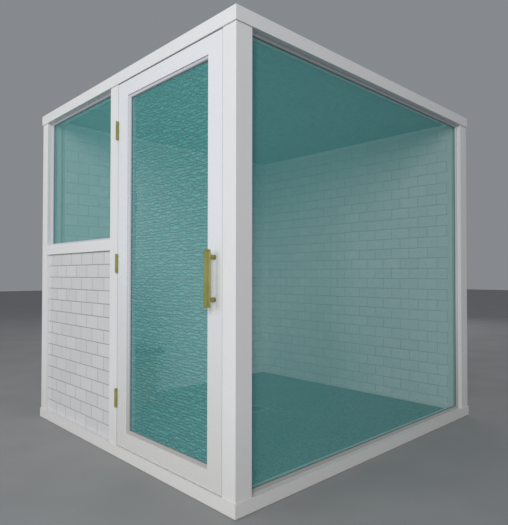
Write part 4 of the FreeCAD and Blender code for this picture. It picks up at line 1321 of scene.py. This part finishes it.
@dataclass
class Beads:
    """Mitred glazing beads on both sides of a pane."""

    node: str
    wall: Wall
    body: Body = Body.CABIN
    width: float = 0.014
    depth: float = 0.011
    flat: float = 0.30
    fall: float = 0.72
    steps: int = 5

    def section(self, deep: float, sign: int) -> list[tuple[float, float]]:
        """The bead's section: a flat by the frame, then a rounded slope to the glass.

        Args:
            deep: depth of its free face.
            sign: 1 where it stands in front of the glass and -1 behind it.

        Returns:
            Points, each how far in and how deep.
        """
        flat, fall = self.flat * self.width, self.fall * self.depth
        points = [(0.0, deep), (flat, deep)]
        for step in range(1, self.steps + 1):
            turn = math.pi / 2 * step / self.steps
            inward = flat + (self.width - flat) * math.sin(turn)
            points.append((inward, deep + sign * fall * (1 - math.cos(turn))))
        return points + [(self.width, deep + sign * self.depth), (0.0, deep + sign * self.depth)]

    def build(self) -> Piece:
        """Make both rings."""
        low, high = box(self.node)
        front = self.wall is Wall.FRONT
        along = Axis.X if front else Axis.Y
        place = front_place(low.y) if front else side_place(high.x)
        whole = high.y - low.y if front else high.x - low.x
        form = Form(self.node + "_moulded", self.body)
        corners = ((low[along.value], low.z), (high[along.value], high.z))
        form.moulding(*corners, self.section(0.0, 1), place, BEAD_PAINTED_SHADE)
        form.moulding(*corners, self.section(whole, -1), place, BEAD_PAINTED_SHADE)
        return form.done("frame_paint", self.node)


@dataclass
class FixedGlazing(Assembly):
    """The window over the tiled panel and the full-height side wall."""

    side_pitch: tuple[float, float] = (0.012, 0.012)
    side_depth: float = 0.0004
    side_pebble: tuple[float, float] = (0.032, 0.026)

    def build(self) -> list[Piece]:
        """Panes and their beads."""
        side = Pane("side_glass", Wall.RIGHT, SIDE_GLASS, pitch=self.side_pitch, pebble=self.side_pebble,
                    depth=self.side_depth)
        return [
            Pane("window_glass", Wall.FRONT, WINDOW_GLASS).build(),
            Beads("window_beads", Wall.FRONT).build(),
            side.build(),
            Beads("side_beads", Wall.RIGHT).build(),
        ]


@dataclass
class DoorLeaf(Assembly):
    """Stiles and rails round a hammered pane, with the stops and seal that it closes on."""

    ease: float = 0.0015
    catch_clearance: float = 0.0002
    glass_depth: float = 0.0020

    def build(self) -> list[Piece]:
        """The leaf and what it closes on."""
        low, high = box("door_stiles")
        inner_low, inner_high = box("door_beads")
        rails_low, rails_high = box("door_rails")
        stiles = Form("door_stile_timbers", Body.DOOR)
        for x0, x1 in ((low.x, inner_low.x), (inner_high.x, high.x)):
            stiles.bar(Vector((x0, low.y, low.z)), Vector((x1, high.y, high.z)), DOOR_PAINT, self.ease)
        case_low, case_high = box("catch_case")
        centre = (case_low + case_high) / 2
        radius = (case_high.z - case_low.z) / 2 + self.catch_clearance
        stiles.drill(Vector((case_low.x, centre.y, centre.z)), Axis.X, radius, 2 * (case_high.x - case_low.x))
        rails = Form("door_rail_timbers", Body.DOOR)
        for z0, z1 in ((rails_low.z, inner_low.z), (inner_high.z, rails_high.z)):
            outline = ((rails_low.y, z0), (rails_high.y, z0), (rails_high.y, z1), (rails_low.y, z1))
            rails.prism(outline, Axis.X, rails_low.x, rails_high.x, DOOR_PAINT_X, self.ease / 2)
        return [
            stiles.done("frame_paint", "door_stiles"),
            rails.done("frame_paint", "door_rails"),
            Pane("door_glass", Wall.FRONT, DOOR_GLASS, Body.DOOR, depth=self.glass_depth).build(),
            Beads("door_beads", Wall.FRONT, Body.DOOR).build(),
            dress("door_stops", FRAME_PAINT),
            dress("door_seal", RUBBER),
        ]


@dataclass
class DoorHardware(Assembly):
    """Brass butts with turned pins, the pull handle and the ball catch."""

    screw_radius: float = 0.0034
    screw_rise: float = 0.00012
    screw_count: int = 3
    leaf_thickness: float = 0.0018
    rose_radius: float = 0.0108
    rose_depth: float = 0.0020
    end_round: float = 0.003
    end_steps: int = 4
    bar_steps: int = 48
    screw_span: float = 0.36
    strike_inset: float = 0.15

    def hinges(self) -> list[Piece]:
        """Pins with acorn tips, and countersunk screws on both leaves."""
        pins = Form("hinge_acorn_pins")
        post_screws = Screws("hinge_post_screws", Body.CABIN, BRASS, self.screw_radius, self.screw_rise)
        door_screws = Screws("hinge_door_screws", Body.DOOR, BRASS, self.screw_radius, self.screw_rise)
        post_x = box("hinge_post")[1].x + self.leaf_thickness
        door_x = box("door_stiles")[0].x - self.leaf_thickness
        leaf_low, leaf_high = box("hinge_post_leaves")[1].y, box("hinge_post")[0].y
        for low, high in solids_of("hinge_pins"):
            middle, radius, tall = (low + high) / 2, (high.x - low.x) / 2, high.z - low.z
            tip, shaft = 0.74 * radius, 0.636 * radius
            profile = [(0.0, 0.0), (0.12 * tip, 0.45 * radius), (0.4 * tip, 0.8 * radius),
                       (tip * 0.8, radius), (tip, 0.86 * radius), (tip, shaft)]
            profile += [(tall - along, size) for along, size in reversed(profile)]
            pins.turned(profile, Vector((middle.x, middle.y, low.z)), Axis.Z, BRASS)
            span = self.screw_span * tall
            y = (leaf_low + leaf_high) / 2
            for screws, x, facing in ((post_screws, post_x, 1.0), (door_screws, door_x, -1.0)):
                start = Vector((x, y, middle.z - span))
                screws.row(start, start + Axis.Z.vector(2 * span), self.screw_count, Axis.X.vector(facing))
        return [
            pins.done("brass", "hinge_pins"),
            post_screws.done(),
            door_screws.done(),
            dress("hinge_post_leaves", BRASS),
            dress("hinge_door_leaves", BRASS),
        ]

    def handle(self) -> list[Piece]:
        """A round bar on two posts with roses."""
        low, high = box("handle_bar")
        middle, radius, tall, soft = (low + high) / 2, (high.x - low.x) / 2, high.z - low.z, self.end_round
        bar = Form("pull_bar", Body.DOOR)
        end = [(0.0, 0.0), (0.0, radius - soft)]
        for step in range(1, self.end_steps + 1):
            turn = math.pi / 2 * step / self.end_steps
            end.append((soft * (1 - math.cos(turn)), radius - soft + soft * math.sin(turn)))
        profile = end + [(tall - along, size) for along, size in reversed(end)]
        bar.turned(profile, Vector((middle.x, middle.y, low.z)), Axis.Z, BRASS, steps=self.bar_steps)
        posts = Form("pull_posts", Body.DOOR)
        for post_low, post_high in solids_of("handle_standoffs"):
            centre, size = (post_low + post_high) / 2, (post_high.z - post_low.z) / 2
            reach, rose, thin = post_high.y - post_low.y, self.rose_radius, self.rose_depth
            profile = ((0.0, 0.0), (0.0, size), (reach - 1.5 * thin, size), (reach - 1.2 * thin, rose),
                       (reach - 0.3 * thin, rose), (reach, 0.97 * rose), (reach, 0.0))
            # The posts take the darker brass, which is painted shade under the bar.
            posts.turned(profile, Vector((centre.x, post_low.y, centre.z)), Axis.Y, SHADED_BRASS)
        return [bar.done("brass", "handle_bar"), posts.done("brass", "handle_standoffs")]

    def catch(self) -> list[Piece]:
        """The ball catch in the door's edge and its plate on the post."""
        low, high = box("strike_plate")
        screws = Screws("strike_screws", Body.CABIN, BRASS, self.screw_radius, self.screw_rise)
        middle, inset = (low + high) / 2, self.strike_inset * (high.z - low.z)
        lower, upper = (Vector((low.x, middle.y, z)) for z in (low.z + inset, high.z - inset))
        screws.row(lower, upper, 2, Axis.X.vector(-1.0))
        return [dress("strike_plate", BRASS), dress("catch_case", BRASS), dress("catch_ball", STEEL),
                screws.done()]

    def build(self) -> list[Piece]:
        """Hinges, handle and catch."""
        return self.hinges() + self.handle() + self.catch()


@dataclass
class Room(Assembly):
    """What the room is lined with: cornice, skirting, boards at the posts, floor, drain, ceiling and lamp."""

    cornice: tuple[float, float] = (0.016, 0.032)
    cornice_steps: int = 6
    skirting: tuple[float, float] = (0.014, 0.026)
    corner_strip: float = 0.0176
    board_ease: float = 0.001
    lens_rings: int = 7
    lens_steps: int = 64
    grate_inset: float = 0.008

    def trims(self) -> Piece:
        """Cornice and skirting along the two solid walls, and the strips in the corners."""
        form = Form("room_trims")
        x0, y1 = PLAN.lining_x, -PLAN.lining_y
        x1 = PLAN.inner.x
        deep, tall = self.cornice
        top = PLAN.ceiling
        cove = [(0.0, 0.0), (deep, 0.0), (deep, -0.2 * tall)]
        for step in range(1, self.cornice_steps):
            turn = math.pi / 2 * step / self.cornice_steps
            cove.append((deep - 0.72 * deep * math.sin(turn), -tall + 0.8 * tall * math.cos(turn)))
        cove += [(0.28 * deep, -tall), (0.0, -tall)]
        form.prism([(x0 + a, top + b) for a, b in cove], Axis.Y, PLAN.lining_y, y1, FRAME_PAINT_Y)
        form.prism([(y1 - a, top + b) for a, b in cove], Axis.X, x0, x1, FRAME_PAINT_X)
        deep, tall = self.skirting
        low = PLAN.floor
        board = ((0.0, 0.0), (deep, 0.0), (deep, 0.7 * tall), (0.62 * deep, 0.94 * tall), (0.0, tall))
        bench_end = box("bench_frame")[1].y
        form.prism([(x0 + a, low + b) for a, b in board], Axis.Y, bench_end, y1, FRAME_PAINT_Y)
        form.prism([(y1 - a, low + b) for a, b in board], Axis.X, x0, x1, FRAME_PAINT_X)
        corner = ((x0, y1), (x0 + self.corner_strip, y1), (x0, y1 - self.corner_strip))
        form.prism(corner, Axis.Z, low + tall, top - self.cornice[1], FRAME_PAINT)
        side = box("side_beads")
        form.bar(Vector((x1, y1, side[0].z)), Vector((side[0].x, PLAN.inner.y, side[1].z)), FRAME_PAINT,
                 self.board_ease)
        return form.done("frame_paint", "interior_trims")

    def lens(self) -> Piece:
        """The lamp's lens with moulded rings."""
        low, high = box("ceiling_light_lens")
        middle, radius, thick = (low + high) / 2, (high.x - low.x) / 2, high.z - low.z
        profile = [(0.0, 0.0)]
        for ring in range(self.lens_rings):
            start = (ring + 0.35) / self.lens_rings
            profile += [(0.0, radius * start), (0.28 * thick, radius * (start + 0.3 / self.lens_rings))]
        profile += [(0.0, radius * 0.985), (0.2 * thick, radius), (thick, radius), (thick, 0.0)]
        form = Form("lamp_ribbed_lens")
        form.turned(profile, Vector((middle.x, middle.y, low.z)), Axis.Z, LENS, steps=self.lens_steps)
        return form.done("lamp_lens", "ceiling_light_lens")

    def build(self) -> list[Piece]:
        """Trims, floor, drain, ceiling and lamp."""
        low, high = box("drain_grate")
        screws = Screws("grate_screws", Body.GRATE, STEEL, 0.0035, 0.0008)
        inset = self.grate_inset
        for y in (low.y + inset, high.y - inset):
            left, right = (Vector((x, y, high.z)) for x in (low.x + inset, high.x - inset))
            screws.row(left, right, 2, Axis.Z.vector())
        # The drain grate's dark teal steel is painted shade of the dim floor.
        dressed = [dress(node, finish) for node, finish in (
            ("post_linings", FRAME_PAINT), ("floor_pan", FLOOR), ("floor_joists", JOIST),
            ("drain_body", STEEL), ("drain_grate", DRAIN_STEEL_SHADED), ("ceiling_panel", CEILING_SHADED),
            ("ceiling_light_housing", PLASTIC))]
        return [self.trims(), self.lens(), screws.done()] + dressed


@dataclass
class Roof(Assembly):
    """Three boards side by side, screwed down over the ceiling."""

    boards: int = 3
    gap: float = 0.003
    ease: float = 0.001
    screw_inset: float = 0.03
    screw_count: int = 8

    def build(self) -> list[Piece]:
        """The boards and their screws."""
        low, high = box("roof_cover")
        form = Form("roof_boards")
        screws = Screws("roof_screws", Body.CABIN, STEEL, 0.0045, 0.0010)
        wide = (high.y - low.y) / self.boards
        for i in range(self.boards):
            y0, y1 = low.y + i * wide, low.y + (i + 1) * wide - self.gap
            form.bar(Vector((low.x, y0, low.z)), Vector((high.x, y1, high.z)), ROOF_BOARD, self.ease)
            inset = self.screw_inset
            for y in (y0 + inset, y1 - inset):
                left, right = (Vector((x, y, high.z)) for x in (low.x + inset, high.x - inset))
                screws.row(left, right, self.screw_count, Axis.Z.vector())
        return [form.done("sheathing_board", "roof_cover"), screws.done()]


@dataclass
class Bench(Assembly):
    """The wooden bench, and the door in its side that opens on the steam generator."""

    def build(self) -> list[Piece]:
        """Seats, base, door, knob and butts."""
        low, high = box("access_knob")
        middle, radius, reach = (low + high) / 2, (high.z - low.z) / 2, high.x - low.x
        knob = Form("turned_knob", Body.ACCESS)
        shares = ((0.0, 0.0), (0.0, 0.62), (0.10, 0.58), (0.30, 0.36), (0.45, 0.40), (0.58, 0.82),
                  (0.72, 1.0), (0.86, 0.94), (0.96, 0.6), (1.0, 0.0))
        profile = [(along * reach, out * radius) for along, out in shares]
        knob.turned(profile, Vector((low.x, middle.y, middle.z)), Axis.X, BRASS)
        return [
            knob.done("brass", "access_knob"),
            dress("bench_seats", BENCH),
            dress("bench_frame", BENCH_PANEL),
            dress("access_door", BENCH_PANEL),
            dress("access_hinges_fixed", BRASS),
            dress("access_hinges_moving", BRASS),
        ]


@dataclass
class SteamPlant(Assembly):
    """The generator under the bench, its pipe and nozzle, and the services through the wall."""

    nut_share: float = 0.45
    nut_ease: float = 0.0008
    gland_bore: float = 0.0045
    gland_lip: float = 0.001
    screw_inset: float = 0.02
    screw_height: float = 0.012

    def gland(self) -> Piece:
        """A cable gland: six-sided nut and a domed cap with a stepped bore."""
        low, high = box("cable_gland")
        middle = (low + high) / 2
        face = box("outer_tiles")[0].x
        reach, radius = face - low.x, (high.z - low.z) / 2
        form = Form("hex_cable_gland")
        turns = [math.tau * i / 6 for i in range(6)]
        flats = [(middle.y + radius * math.cos(turn), middle.z + radius * math.sin(turn)) for turn in turns]
        mouth, wider = self.gland_bore, self.gland_bore + self.gland_lip
        cap = ((0.0, mouth), (0.0, 0.62 * radius), (0.12 * reach, 0.80 * radius),
               (0.5 * reach, 0.88 * radius), (0.5 * reach, wider), (0.3 * reach, wider),
               (0.3 * reach, mouth), (0.0, mouth))
        form.turned(cap, Vector((low.x, middle.y, middle.z)), Axis.X, VALVE_BRASS)
        form.prism(flats, Axis.X, face - self.nut_share * reach, face, VALVE_BRASS, self.nut_ease)
        shank = ((0.0, 0.7 * radius), (high.x - face, 0.7 * radius))
        form.turned(shank, Vector((face, middle.y, middle.z)), Axis.X, VALVE_BRASS)
        return form.done("valve_brass", "cable_gland")

    def build(self) -> list[Piece]:
        """Generator, pipe, nozzle, valves and services."""
        low, high = box("generator_cover")
        screws = Screws("cover_screws", Body.CABIN, STEEL, 0.003, 0.0009)
        z = low.z + self.screw_height
        for x, facing in ((high.x, 1.0), (low.x, -1.0)):
            near, far = (Vector((x, y, z)) for y in (low.y + self.screw_inset, high.y - self.screw_inset))
            screws.row(near, far, 4, Axis.X.vector(facing))
        dressed = [dress(node, finish) for node, finish in (
            ("generator_tray", STEEL), ("generator_cover", STEEL), ("boiler_tank", STEEL),
            ("heater_element", STEEL), ("relief_valve", VALVE_BRASS), ("relief_lever", STEEL),
            ("drain_valve", VALVE_BRASS), ("drain_lever", STEEL), ("steam_pipe", VALVE_BRASS),
            ("steam_nozzle", CHROME), ("water_inlet", STEEL))]
        return [self.gland(), screws.done()] + dressed


@dataclass
class Controls(Assembly):
    """The panel by the door with its display and two buttons."""

    screen: tuple[float, float] = (0.044, 0.020)
    screen_drop: float = 0.012
    screen_proud: float = 0.0004
    screen_sink: float = 0.001
    screen_round: float = 0.003

    def build(self) -> list[Piece]:
        """The panel, its display window and its buttons."""
        low, high = box("control_panel")
        middle = (low + high) / 2
        wide, tall = self.screen
        top = high.z - self.screen_drop
        form = Form("panel_display")
        corners = ((middle.x - wide / 2, top - tall), (middle.x + wide / 2, top))
        outline = rounded(*corners, self.screen_round)
        form.prism(outline, Axis.Y, high.y - self.screen_sink, high.y + self.screen_proud, SCREEN)
        return [
            form.done("white_plastic"),
            dress("control_panel", PLASTIC),
            dress("power_button", BUTTON),
            dress("light_button", BUTTON),
        ]


@dataclass
class Studio:
    """Pale floor, soft lamps and the camera."""

    floor_size: float = 60.0
    floor_colour: Colour = (0.34, 0.34, 0.34)
    sky: Colour = (0.80, 0.84, 0.90)
    sky_strength: float = 0.30
    eye: tuple[float, float, float] = (2.6795, -2.4049, 1.0079)
    tilt: float = 90.964
    turn: float = 44.250
    lens: float = 34.38
    shift: tuple[float, float] = (-0.0674, 0.0063)
    lamps: tuple[tuple[str, tuple[float, float, float], float, float], ...] = (
        ("key_lamp", (6.1, -7.1, 4.2), 4.0, 450.0),
        ("fill_lamp", (-1.4, -6.5, 2.6), 4.5, 130.0),
        ("back_lamp", (-5.0, 6.0, 3.2), 4.5, 130.0),
    )

    def floor(self) -> None:
        """A wide pale floor under the pads."""
        half = self.floor_size / 2
        mesh = bpy.data.meshes.new("studio_floor")
        corners = [(-half, -half, 0), (half, -half, 0), (half, half, 0), (-half, half, 0)]
        mesh.from_pydata(corners, [], [(0, 1, 2, 3)])
        speck = shade(self.floor_colour, 0.98)
        mesh.materials.append(Resin("studio_floor_paint", "", self.floor_colour, speck, 0.7).material())
        floor = bpy.data.objects.new("studio_floor", mesh)
        bpy.context.scene.collection.objects.link(floor)

    def light(self) -> None:
        """An even sky and soft lamps that face the cabin."""
        world = bpy.data.worlds.new("studio_sky")
        world.use_nodes = True
        sky = world.node_tree.nodes["Background"]
        sky.inputs["Color"].default_value = (*self.sky, 1.0)
        sky.inputs["Strength"].default_value = self.sky_strength
        bpy.context.scene.world = world
        low, high = CAD_BOUNDS
        middle = (low + high) / 2
        for name, place, size, power in self.lamps:
            lamp = bpy.data.lights.new(name, "AREA")
            lamp.size = size
            lamp.energy = power
            holder = bpy.data.objects.new(name, lamp)
            holder.location = place
            holder.visible_glossy = False
            holder.rotation_euler = (middle - Vector(place)).to_track_quat("-Z", "Y").to_euler()
            bpy.context.scene.collection.objects.link(holder)

    def camera(self) -> None:
        """The camera, level with the cabin's middle and looking at its near corner."""
        lens = bpy.data.cameras.new("studio_camera")
        lens.lens = self.lens
        lens.shift_x, lens.shift_y = self.shift
        lens.clip_end = 2 * self.floor_size
        holder = bpy.data.objects.new("studio_camera", lens)
        holder.location = self.eye
        holder.rotation_euler = Euler((math.radians(self.tilt), 0.0, math.radians(self.turn)))
        bpy.context.scene.collection.objects.link(holder)
        bpy.context.scene.camera = holder

    def build(self) -> None:
        """Set up the studio."""
        self.floor()
        self.light()
        self.camera()
        bpy.context.scene.view_settings.view_transform = "Standard"


def main() -> None:
    """Build each sub-assembly in turn, then the studio round it."""
    logging.basicConfig(level=logging.INFO, format="%(name)s %(message)s")
    assemblies = (CabinFrame(), TileWork(), FixedGlazing(), DoorLeaf(), DoorHardware(), Room(), Roof(),
                  Bench(), SteamPlant(), Controls())
    for assembly in assemblies:
        for piece in assembly.build():
            faces = len(piece.data.polygons)
            LOG.info("%s: %s, %d faces", type(assembly).__name__, piece.name, faces)
    Studio().build()


if __name__ == "__main__":
    main()
